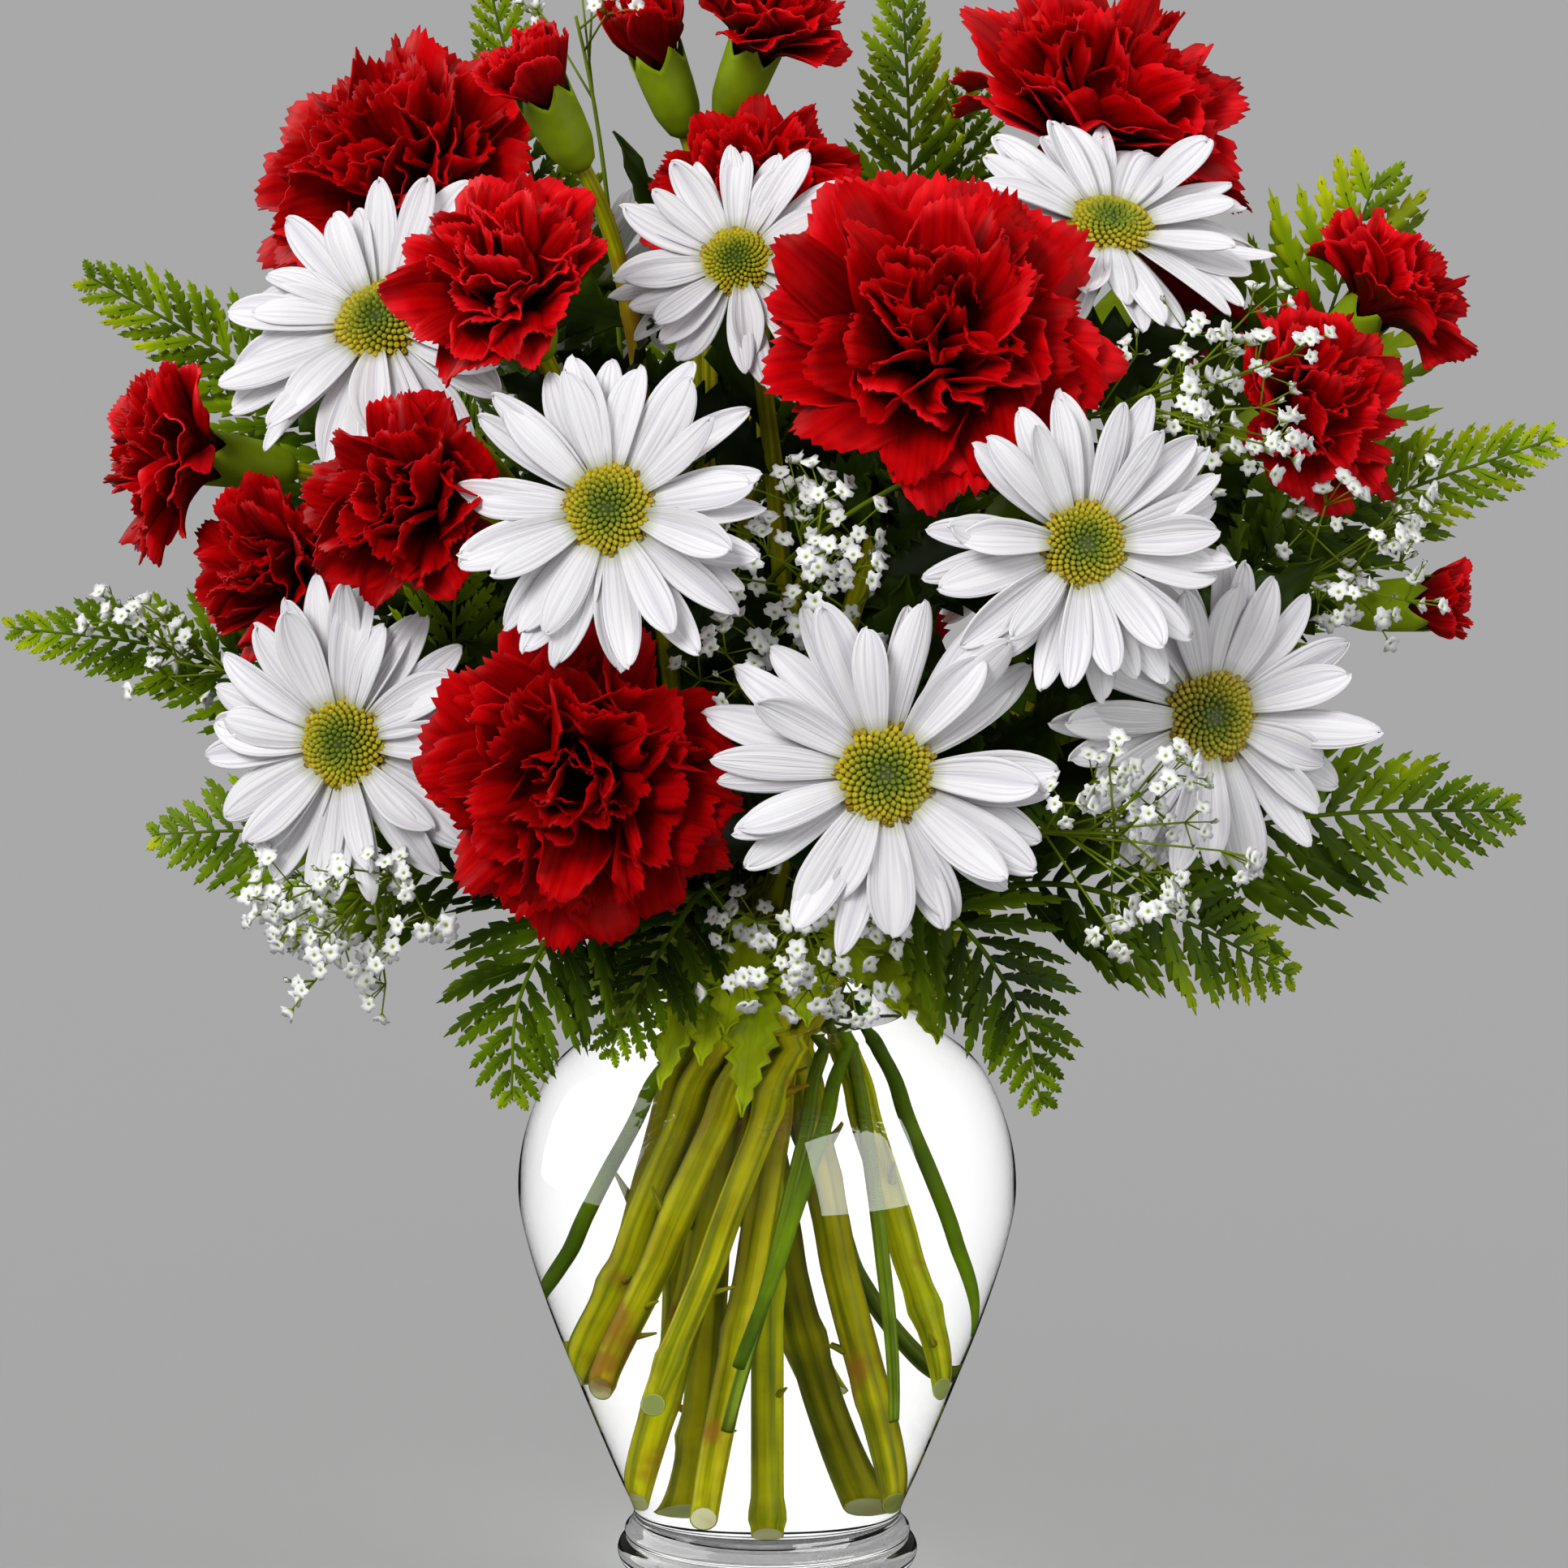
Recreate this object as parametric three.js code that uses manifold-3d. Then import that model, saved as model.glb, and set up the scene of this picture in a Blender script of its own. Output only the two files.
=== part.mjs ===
// Red carnations and white daisies with fern and gypsophila in a glass vase of water.
// Millimetres, +Z up, the origin at the centre of the vase's foot, the front of the bouquet towards -Y.
import * as THREE from 'three';
import { mergeVertices } from 'three/addons/utils/BufferGeometryUtils.js';
import Module from 'manifold-3d';

const wasm = await Module();
wasm.setup();

// ---------- Driving dimensions ----------
const GAP = 0.35;               // free space between touching pieces
const NECK_Z = 150;             // height at which every stem passes the neck of the vase
const FLOOR_Z = 9;              // top of the thick glass bottom, where the stems stand
const WATER_Z = 143;            // water level, close under the neck
const VASE_HEIGHT = 165;
const VASE_OUTSIDE = [          // [radius, height] of the outer wall from the foot to the lip
  [38.4, 3], [38, 7], [34.6, 12], [39.6, 27], [47.8, 47], [55.6, 67],
  [61.6, 86], [63.5, 100], [61.4, 115], [54.5, 130], [43, 139.5], [34.8, 145.5], [33, 151], [36, 158.5],
];
const VASE_INSIDE = [           // the same for the inner wall, from above the floor's rounded edge
  [31.8, 16], [44.8, 47], [58.6, 86], [60.5, 100], [51.5, 130], [40, 139.5], [31.8, 145.5], [30, 151],
  [33, 158.5],
];
const FOOT_FLAT = 36.6;         // radius of the flat ground under the foot
const FLOOR_FLAT = 26;          // and of the flat floor inside
const BLADE_THICKNESS = 0.7;    // leaves and fronds
const STEM_RADIUS = { standard: 3.4, spray: 3.1, daisy: 3.5, fern: 1.6, gypsophila: 1.6 };
const STEM_TIP = 2.2;           // radius of a stem close under its bloom
const BRANCH_RADIUS = 2.0;
const TWIST_DEG = -95;          // the stems turn about the axis by this much from the neck to the floor
const SPREAD = 3.1;             // and would be this much further out at the floor, if the glass let them
const LOWEST_FOOT = { leafy: FLOOR_Z + 2, fern: 30, gypsophila: 24 };   // cut ends that meet no glass

// ---------- The arrangement ----------
// place: centre of the bloom. facing: [turn from the front towards +X, lift above the horizon], degrees.
const DAISIES = [
  { name: 'daisy_1', place: [-93, -54, 323], facing: [-35, 30], across: 74 },
  { name: 'daisy_2', place: [-7, -58, 338], facing: [-8, 28], across: 61 },
  { name: 'daisy_3', place: [84, -36, 345], facing: [14, 46], across: 74 },
  { name: 'daisy_4', place: [-36, -120, 284], facing: [-10, 12], across: 74 },
  { name: 'daisy_5', place: [74, -112, 275], facing: [14, 10], across: 72 },
  { name: 'daisy_6', place: [-101, -78, 224], facing: [-40, 0], across: 76 },
  { name: 'daisy_7', place: [28, -118, 222], facing: [4, 4], across: 82 },
  { name: 'daisy_8', place: [106, -82, 231], facing: [32, 0], across: 79 },
  { name: 'daisy_9', place: [-48, 88, 318], facing: [205, 30], across: 72 },
  { name: 'daisy_10', place: [66, 92, 262], facing: [150, 12], across: 74 },
];
const CARNATIONS = [
  { name: 'carnation_1', place: [-94, 6, 361], facing: [-35, 42], across: 72, standard: true },
  { name: 'carnation_2', place: [-57, -46, 384], facing: [-54, 58], across: 28 },
  { name: 'carnation_3', place: [-62, -98, 338], facing: [-18, 37], across: 50 },
  { name: 'carnation_4', place: [1, -8, 398], facing: [49, 62], across: 42 },
  { name: 'carnation_5', place: [-30, 4, 393], facing: [-56, 66], across: 30 },
  { name: 'carnation_6', place: [-3, -24, 353], facing: [-4, 28], across: 49 },
  { name: 'carnation_7', place: [40, -88, 320], facing: [4, 16], across: 84, standard: true },
  { name: 'carnation_8', place: [87, 21, 376], facing: [35, 52], across: 76, standard: true },
  { name: 'carnation_9', place: [158, -5, 332], facing: [70, 48], across: 44 },
  { name: 'carnation_10', place: [136, -38, 304], facing: [45, 26], across: 52 },
  { name: 'carnation_11', place: [168, -25, 252], facing: [72, 5], across: 22 },
  { name: 'carnation_12', place: [-150, -25, 290], facing: [-74, 10], across: 50 },
  { name: 'carnation_13', place: [-85, -98, 285], facing: [-24, 12], across: 50 },
  { name: 'carnation_14', place: [-123, -51, 264], facing: [-48, 10], across: 45 },
  { name: 'carnation_15', place: [-44, -104, 218], facing: [-6, -3], across: 75, standard: true },
  { name: 'carnation_16', place: [8, 100, 222], facing: [176, 4], across: 70, standard: true },
  { name: 'carnation_17', place: [-104, 52, 262], facing: [238, 14], across: 50 },
  { name: 'carnation_18', place: [104, 48, 330], facing: [126, 34], across: 48 },
];
// Each leafy stem: its place in the neck as [radius, angle], and the blooms it carries, the first at its own
// tip. A leaf grows from the branch of one of its blooms, at a share of the way down it; half: half its width.
const STEMS = [
  {
    name: 'daisy_stem_a', kind: 'daisy', neck: [18.3, -165], blooms: ['daisy_4', 'daisy_6', 'daisy_1'],
    leaves: [
      { branch: 2, at: 0.3, tip: [-130, 6, 304], half: 15, faces: [0, -1, 0.5] },
      { branch: 0, at: 0.35, tip: [-66, -62, 262], half: 14, faces: [0, -1, 0.3] },
    ],
  },
  {
    name: 'daisy_stem_b', kind: 'daisy', neck: [9.3, -90], blooms: ['daisy_2', 'daisy_3'],
    leaves: [
      { branch: 0, at: 0.3, tip: [-38, -12, 368], half: 12, faces: [0, -1, 0.3] },
      { branch: 1, at: 0.35, tip: [112, -26, 318], half: 16, faces: [0.2, -1, 0.3] },
      { branch: 0, at: 0.6, tip: [-14, -56, 266], half: 13, faces: [0, -1, 0.3] },
    ],
  },
  {
    name: 'daisy_stem_c', kind: 'daisy', neck: [18.3, -75], blooms: ['daisy_7', 'daisy_5', 'daisy_8'],
    leaves: [
      { branch: 1, at: 0.3, tip: [100, -50, 300], half: 17, faces: [0, -1, 0.4] },
      { branch: 2, at: 0.3, tip: [136, -52, 266], half: 15, faces: [0.2, -1, 0.3] },
      { branch: 0, at: 0.35, tip: [34, -70, 264], half: 14, faces: [0, -1, 0.3] },
    ],
  },
  {
    name: 'daisy_stem_d', kind: 'daisy', neck: [9.3, 90], blooms: ['daisy_9', 'daisy_10'],
    leaves: [
      { branch: 0, at: 0.3, tip: [12, 98, 330], half: 16, faces: [0, 1, 0.4] },
      { branch: 1, at: 0.35, tip: [30, 86, 302], half: 14, faces: [0, 1, 0.4] },
      { branch: 0, at: 0.5, tip: [-62, 84, 240], half: 14, faces: [0, 1, 0.4] },
    ],
  },
  { name: 'carnation_stem_a', kind: 'standard', neck: [9.3, 150], blooms: ['carnation_1'] },
  { name: 'carnation_stem_b', kind: 'standard', neck: [18.3, -105], blooms: ['carnation_7'] },
  { name: 'carnation_stem_c', kind: 'standard', neck: [9.3, -30], blooms: ['carnation_8'] },
  { name: 'carnation_stem_d', kind: 'standard', neck: [18.3, -135], blooms: ['carnation_15'] },
  { name: 'carnation_spray_a', kind: 'spray', neck: [9.3, -150], blooms: ['carnation_3', 'carnation_2'] },
  {
    name: 'carnation_spray_b', kind: 'spray', neck: [0, 0],
    blooms: ['carnation_4', 'carnation_5', 'carnation_6'],
  },
  {
    name: 'carnation_spray_c', kind: 'spray', neck: [18.3, -45],
    blooms: ['carnation_9', 'carnation_10', 'carnation_11'],
  },
  {
    name: 'carnation_spray_d', kind: 'spray', neck: [18.3, 165],
    blooms: ['carnation_12', 'carnation_14', 'carnation_13'],
  },
  {
    name: 'carnation_spray_e', kind: 'spray', neck: [18.3, 75],
    blooms: ['carnation_16', 'carnation_17', 'carnation_18'],
  },
];

// ---------- Small tools ----------
const vec = (p) => new THREE.Vector3(...p);
const along = (a, b, t) => a.clone().lerp(b, t);
const radians = THREE.MathUtils.degToRad;

// A repeatable number from 0 to 1 for each whole seed.
function chance(seed) {
  const s = Math.sin(seed * 12.9898 + 4.1414) * 43758.5453;
  return s - Math.floor(s);
}

// A closed solid from corner points and triangles, turned so that its faces point out.
function solid(points, triangles) {
  const make = (list) => new wasm.Manifold(new wasm.Mesh({
    numProp: 3,
    vertProperties: new Float32Array(points.flatMap((p) => [p.x, p.y, p.z])),
    triVerts: new Uint32Array(list.flat()),
  }));
  const made = make(triangles);
  return made.volume() < 0 ? make(triangles.map(([a, b, c]) => [a, c, b])) : made;
}

// The same from a ready geometry, its corners merged.
function solidOf(geometry) {
  const bare = geometry.clone();
  bare.deleteAttribute('normal');
  bare.deleteAttribute('uv');
  const merged = mergeVertices(bare, 1e-4);
  return new wasm.Manifold(new wasm.Mesh({
    numProp: 3,
    vertProperties: merged.attributes.position.array,
    triVerts: new Uint32Array(merged.index.array),
  }));
}

const largest = (made) => made.decompose().sort((a, b) => b.volume() - a.volume())[0];
const fused = (parts) => largest(wasm.Manifold.union(parts));

// A round rod along points, with a radius at each, closed at both ends.
function rod(points, radii, sides) {
  const corners = [];
  const triangles = [];
  let side = null;
  points.forEach((p, i) => {
    const ahead = points[Math.min(i + 1, points.length - 1)];
    const behind = points[Math.max(i - 1, 0)];
    const direction = ahead.clone().sub(behind).normalize();
    if (!side) side = new THREE.Vector3(direction.y, direction.z, direction.x);
    side.addScaledVector(direction, -side.dot(direction)).normalize();
    const other = direction.clone().cross(side);
    for (let k = 0; k < sides; k++) {
      const angle = (2 * Math.PI * k) / sides;
      corners.push(p.clone()
        .addScaledVector(side, radii[i] * Math.cos(angle))
        .addScaledVector(other, radii[i] * Math.sin(angle)));
    }
  });
  for (let i = 0; i + 1 < points.length; i++) {
    for (let k = 0; k < sides; k++) {
      const a = i * sides + k;
      const b = i * sides + ((k + 1) % sides);
      triangles.push([a, b, b + sides], [a, b + sides, a + sides]);
    }
  }
  const last = (points.length - 1) * sides;
  for (let k = 1; k + 1 < sides; k++) {
    triangles.push([0, k + 1, k], [last, last + k, last + k + 1]);
  }
  return solid(corners, triangles);
}

// ---------- Vase ----------
// Radius of a wall at a height, between the [radius, height] points of its outline.
function radiusAt(outline, z) {
  const i = outline.findIndex((p) => p[1] >= z);
  if (i <= 0) return outline[i < 0 ? outline.length - 1 : 0][0];
  const [r0, z0] = outline[i - 1];
  const [r1, z1] = outline[i];
  return r0 + ((r1 - r0) * (z - z0)) / (z1 - z0);
}
const insideRadius = (z) => radiusAt(VASE_INSIDE, z);
const VASE_SIDES = 18;
const LIP = [[43.6, VASE_HEIGHT - 1.5], [42, VASE_HEIGHT], [39.4, VASE_HEIGHT - 1.6]];

function vaseSolid() {
  const outside = [[0, 0], [FOOT_FLAT, 0], ...VASE_OUTSIDE, ...LIP];
  const profile = [...outside, ...[...VASE_INSIDE].reverse(), [FLOOR_FLAT, FLOOR_Z], [0, FLOOR_Z]];
  const points = profile.map(([r, z]) => new THREE.Vector2(r, z));
  return solidOf(new THREE.LatheGeometry(points, VASE_SIDES).rotateX(Math.PI / 2));
}

// ---------- Room taken by what is already placed ----------
// Later pieces are bent or left out where they would come into it.
const rooms = [];

function addTubeRoom(owner, points, radii) {
  rooms.push({ owner, blocks(p, reach) {
    for (let i = 0; i + 1 < points.length; i++) {
      const edge = points[i + 1].clone().sub(points[i]);
      const t = THREE.MathUtils.clamp(p.clone().sub(points[i]).dot(edge) / edge.lengthSq(), 0, 1);
      const radius = radii[i] + (radii[i + 1] - radii[i]) * t;
      if (p.distanceTo(along(points[i], points[i + 1], t)) < radius + reach) return true;
    }
    return false;
  } });
}

// profile: [height along the bloom's axis, radius] points.
function addBloomRoom(owner, frame, profile) {
  const back = frame.clone().invert();
  rooms.push({ owner, blocks(p, reach) {
    const q = p.clone().applyMatrix4(back);
    if (q.z < profile[0][0] - reach || q.z > profile.at(-1)[0] + reach) return false;
    return Math.hypot(q.x, q.y) < radiusAt(profile.map(([a, r]) => [r, a]), q.z) + reach;
  } });
}

const GLASS_ROOM = 4;           // a little more than the thickness of the glass
rooms.push({ owner: 'vase', blocks(p, reach) {
  const r = Math.hypot(p.x, p.y);
  const outside = radiusAt([...VASE_OUTSIDE, LIP[0]], p.z);
  return p.z < VASE_HEIGHT + reach && r > outside - GLASS_ROOM - reach && r < outside + reach;
} });

function blocked(p, reach, owner) {
  return rooms.some((room) => !room.owner.startsWith(owner) && room.blocks(p, reach));
}

// ---------- Blooms ----------
// The bloom's own frame: +Z out of its face, at its centre.
function frameOf({ place, facing }) {
  const [turn, lift] = facing.map(radians);
  const level = Math.cos(lift);
  const out = new THREE.Vector3(Math.sin(turn) * level, -Math.cos(turn) * level, Math.sin(lift));
  const right = new THREE.Vector3(Math.cos(turn), Math.sin(turn), 0);
  const up = out.clone().cross(right);
  return new THREE.Matrix4().makeBasis(right, up, out).setPosition(...place);
}

const DAISY_PETALS = 13;
// Outline of one petal: [share of its length, share of the pitch round the bloom, share of its lift].
const PETAL_OUTLINE = [[0.34, -0.5, 0], [0.88, -0.4, 0.9], [0.97, 0.12, 1], [0.74, 0.44, 0.8]];
const PETAL_THICKNESS = 0.7;

// One ring of long blunt petals round a thin plate. Each petal has its own length, lift and turn.
function daisyPetals(across, frame, seed) {
  const reach = across / 2;
  const pitch = (2 * Math.PI) / DAISY_PETALS;
  const outline = [];
  for (let i = 0; i < DAISY_PETALS; i++) {
    const length = reach * (1 - 0.09 * chance(seed + i));
    const lift = reach * (0.02 + 0.07 * chance(seed + 50 + i) + (i % 2 ? 0.05 : -0.02));
    const turn = pitch * (i + 0.16 * (chance(seed + 90 + i) - 0.5));
    for (const [out, share, raise] of PETAL_OUTLINE) {
      const angle = turn + share * pitch;
      const r = length * out;
      outline.push(new THREE.Vector3(r * Math.cos(angle), r * Math.sin(angle), lift * raise));
    }
  }
  const n = outline.length;
  const faces = [];
  for (let a = 0; a < n; a += 4) {
    const [b, c, d, next] = [a + 1, a + 2, a + 3, (a + 4) % n];
    faces.push([a, b, d], [b, c, d], [a, d, next], [a, next, 2 * n]);
  }
  const half = new THREE.Vector3(0, 0, PETAL_THICKNESS / 2);
  const sheet = [...outline, ...outline, new THREE.Vector3(), new THREE.Vector3()];
  const top = (v) => (v === 2 * n ? 2 * n : v);
  const bottom = (v) => (v === 2 * n ? 2 * n + 1 : v + n);
  const isTop = (v) => v < n || v === 2 * n;
  const points = sheet.map((p, v) => p.clone().addScaledVector(half, isTop(v) ? 1 : -1).applyMatrix4(frame));
  const triangles = faces.flatMap((f) => [f.map(top), f.map(bottom).reverse()]);
  for (let k = 0; k < n; k++) {
    const next = (k + 1) % n;
    triangles.push([next, k, k + n], [next, k + n, next + n]);
  }
  return solid(points, triangles);
}

const DISC_SIZE = { radius: 0.14, height: 0.062, sides: 9 };   // as shares of the bloom's width

// A domed yellow disc, its surface raised in small florets.
function daisyDisc(across, frame, seed) {
  const radius = across * DISC_SIZE.radius;
  const height = across * DISC_SIZE.height;
  const { sides } = DISC_SIZE;
  const base = PETAL_THICKNESS / 2 + GAP;
  const rings = [[1, 0], [1, 0.35], [0.6, 0.85]];
  const points = [];
  rings.forEach(([out, up], row) => {
    for (let k = 0; k < sides; k++) {
      const raised = row ? 1 + 0.1 * ((k + row) % 2) + 0.04 * chance(seed + 7 * row + k) : 1;
      const angle = (2 * Math.PI * (k + row / 2)) / sides;
      const r = radius * out * (row ? raised - 0.06 : 0.96);
      points.push(new THREE.Vector3(r * Math.cos(angle), r * Math.sin(angle), base + height * up * raised));
    }
  });
  const triangles = [];
  for (let row = 0; row + 1 < rings.length; row++) {
    for (let k = 0; k < sides; k++) {
      const a = row * sides + k;
      const b = row * sides + ((k + 1) % sides);
      triangles.push([a, b, a + sides], [b, b + sides, a + sides]);
    }
  }
  const apex = points.length;
  points.push(new THREE.Vector3(0, 0, base + height * 0.92));
  for (let k = 0; k < sides; k++) triangles.push([apex - sides + k, apex - sides + ((k + 1) % sides), apex]);
  for (let k = 1; k + 1 < sides; k++) triangles.push([0, k + 1, k]);
  return solid(points.map((p) => p.applyMatrix4(frame)), triangles);
}

const BUD_ACROSS = 32;          // narrower carnations are half open buds
// Height of a carnation's centre above the mouth of its green cup, as a share of its width.
const CARNATION_DEPTH = 0.27;
// [radius, height] of each ring, as shares of the width: every second one is the ruffled edge of a layer.
const STANDARD_RINGS = [
  [0.08, 0], [0.5, 0.17], [0.27, 0.21], [0.44, 0.33], [0.18, 0.32], [0.31, 0.45], [0.08, 0.4], [0.14, 0.52],
];
const SPRAY_RINGS = [[0.1, 0], [0.5, 0.2], [0.25, 0.25], [0.4, 0.4], [0.12, 0.4], [0.22, 0.5]];
const BUD_RINGS = [[0.2, 0], [0.34, 0.4], [0.46, 0.75], [0.2, 0.62], [0.26, 0.86]];

// Layers of petals with notched, ruffled edges, folded out of one closed surface.
function carnationBloom(flower, frame, seed) {
  const { across, standard } = flower;
  const bud = across < BUD_ACROSS;
  const rings = standard ? STANDARD_RINGS : bud ? BUD_RINGS : SPRAY_RINGS;
  const petals = standard ? 5 : bud ? 3 : 4;
  const sides = petals * 4;
  const points = [];
  rings.forEach(([radius, height], row) => {
    const edge = bud ? row === 2 || row === 4 : row % 2 === 1;
    const ruffle = edge ? [-0.02, 0.045, -0.035, 0.04] : [0, 0, 0, 0];
    const notch = edge ? [0.76, 1, 0.93, 1.03] : [1, 1, 1, 1];
    for (let k = 0; k < sides; k++) {
      const part = k % 4;
      const uneven = edge ? 1 + 0.09 * (chance(seed + 31 * row + k) - 0.5) : 1;
      const sway = edge ? 0.05 * (chance(seed + 17 * row + Math.floor(k / 4)) - 0.5) : 0;
      const angle = (2 * Math.PI * (k + 1.3 * row)) / sides;
      const r = across * radius * notch[part] * uneven;
      const z = across * (height + ruffle[part] * (0.55 + 0.45 * radius) + sway * radius);
      points.push(new THREE.Vector3(r * Math.cos(angle), r * Math.sin(angle), z));
    }
  });
  const triangles = [];
  for (let row = 0; row + 1 < rings.length; row++) {
    for (let k = 0; k < sides; k++) {
      const a = row * sides + k;
      const b = row * sides + ((k + 1) % sides);
      triangles.push([a, b, a + sides], [b, b + sides, a + sides]);
    }
  }
  const apex = points.length;
  points.push(new THREE.Vector3(0, 0, across * (rings.at(-1)[1] - 0.05)));
  for (let k = 0; k < sides; k++) triangles.push([apex - sides + k, apex - sides + ((k + 1) % sides), apex]);
  for (let k = 1; k + 1 < sides; k++) triangles.push([0, k + 1, k]);
  const depth = new THREE.Vector3(0, 0, -CARNATION_DEPTH * across);
  return solid(points.map((p) => p.add(depth).applyMatrix4(frame)), triangles);
}

// The green cup of a carnation: its length and its radius at the mouth.
const CUPS = { standard: [25, 7], spray: [17, 5.6], bud: [17, 5] };

// The green piece under each bloom, as [distance down the axis from the bloom's centre, radius].
function headOf(flower) {
  const { across } = flower;
  if (flower.name.startsWith('daisy')) {
    return [[PETAL_THICKNESS / 2 + GAP, 0.095 * across], [3.2, 0.075 * across], [7.5, STEM_TIP], [14, 1.9]];
  }
  const mouth = CARNATION_DEPTH * across + GAP;
  const [length, radius] = CUPS[flower.standard ? 'standard' : across < BUD_ACROSS ? 'bud' : 'spray'];
  return [
    [mouth, radius],
    [mouth + 0.55 * length, 0.86 * radius],
    [mouth + length, 1.2 * STEM_TIP],
    [mouth + length + 6, STEM_TIP],
  ];
}

function bloomProfile(flower) {
  const { across } = flower;
  if (flower.name.startsWith('daisy')) return [[-2.6, across / 2 + 0.6], [7.5, across / 2 + 0.6]];
  const shares = across < BUD_ACROSS
    ? [[0, 0.24], [0.4, 0.42], [0.7, 0.54], [0.95, 0.4]]
    : [[0, 0.2], [0.1, 0.5], [0.27, 0.55], [0.46, 0.44], [0.6, 0.2]];
  return shares.map(([a, r]) => [(a - CARNATION_DEPTH) * across, r * across]);
}

// ---------- Stems ----------
// Where a stem that passes the neck at [radius, angle] is at a height in the vase. Every stem follows one and
// the same turn and spread, so that no two of them meet.
function inVase([radius, angle], z) {
  const t = (NECK_Z - z) / (NECK_Z - FLOOR_Z);
  const down = radians(angle + TWIST_DEG);
  const x = (1 - t) * Math.cos(radians(angle)) + t * SPREAD * Math.cos(down);
  const y = (1 - t) * Math.sin(radians(angle)) + t * SPREAD * Math.sin(down);
  return new THREE.Vector3(radius * x, radius * y, z);
}

const GLASS_CLEAR = 1.2;        // room between a leaning stem and the round of the glass

// The cut end: at its lowest, or where the stem comes to lean on the glass.
function footOf(neck, radius, lowest) {
  for (let z = NECK_Z - 30; z > lowest; z -= 1) {
    const p = inVase(neck, z - 1);
    if (Math.hypot(p.x, p.y) + radius + GLASS_CLEAR > insideRadius(z - 1)) return inVase(neck, z);
  }
  return inVase(neck, lowest);
}

const RUN_BENDS = [0, 6, 12, 18, 24, 30, 38, 48, 60];
const RUN_EASE = 0.3;           // how far a run keeps its first and last direction, as a share of its length
const BEND_WAYS = 12;
const TEST_SHARES = [0.2, 0.4, 0.6, 0.8, 1];   // places on each straight piece of a run

// Shifts square to a chord: each bend in turn, and for each every way round the chord.
function sideShifts(from, to, bends) {
  const chord = to.clone().sub(from).normalize();
  const sideways = new THREE.Vector3(chord.y, -chord.x, 0).normalize();
  const upward = sideways.clone().cross(chord);
  return bends.flatMap((bend) => Array.from({ length: bend ? BEND_WAYS : 1 }, (_, k) => {
    const angle = (2 * Math.PI * k) / BEND_WAYS;
    return sideways.clone().multiplyScalar(bend * Math.cos(angle))
      .addScaledVector(upward, bend * Math.sin(angle));
  }));
}

// A smooth run from a bloom's green head to where it is going, bent aside until clear of what is placed.
function clearRun(start, startWay, end, endWay, steps, radius, owner) {
  const ease = start.distanceTo(end) * RUN_EASE;
  for (const off of sideShifts(start, end, RUN_BENDS)) {
    const curve = new THREE.CubicBezierCurve3(
      start,
      start.clone().addScaledVector(startWay, ease).add(off),
      end.clone().addScaledVector(endWay, ease).add(off),
      end,
    );
    const corners = curve.getPoints(steps);
    const tested = corners.slice(1).flatMap((p, i) => TEST_SHARES.map((t) => along(corners[i], p, t)));
    if (!tested.slice(0, -1).some((p) => blocked(p, radius + 0.5, owner))) return curve;
  }
  throw new Error(`${owner}: no clear way from ${start.toArray().map(Math.round)}`);
}

const bloomNamed = (name) => [...DAISIES, ...CARNATIONS].find((flower) => flower.name === name);
const BRANCH_HEIGHTS = [0.42, 0.3];   // how far up its upper run a main stem branches, for each side bloom

// A thin sheet with the same triangles on both faces. sheet: each point and the way it faces. border: the
// points along its edge, clockwise seen from above.
function blade(sheet, faces, border) {
  const n = sheet.length;
  const points = [0.5, -0.5].flatMap((hand) => sheet.map(({ point, face }) => point.clone()
    .addScaledVector(face, hand * BLADE_THICKNESS)));
  const triangles = faces.flatMap(([i, j, k]) => [[i, j, k], [k + n, j + n, i + n]]);
  border.forEach((v, k) => {
    const next = border[(k + 1) % border.length];
    triangles.push([v, next, next + n], [v, next + n, v + n]);
  });
  return solid(points, triangles);
}

// Half width of a lobed leaf at even steps from its foot to its tip, as shares of the widest.
const LEAF_WIDTHS = [0.12, 0.7, 0.45, 1, 0.6, 0.75, 0.08];
const LEAF_ARCH = 0.12;
const LEAF_SHARES = [1, 0.8, 0.6, 0.45];      // widths that are tried,
const LEAF_TURNS = [0, 30, -30, 60, -60];     // and turns about the leaf's length, degrees

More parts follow.
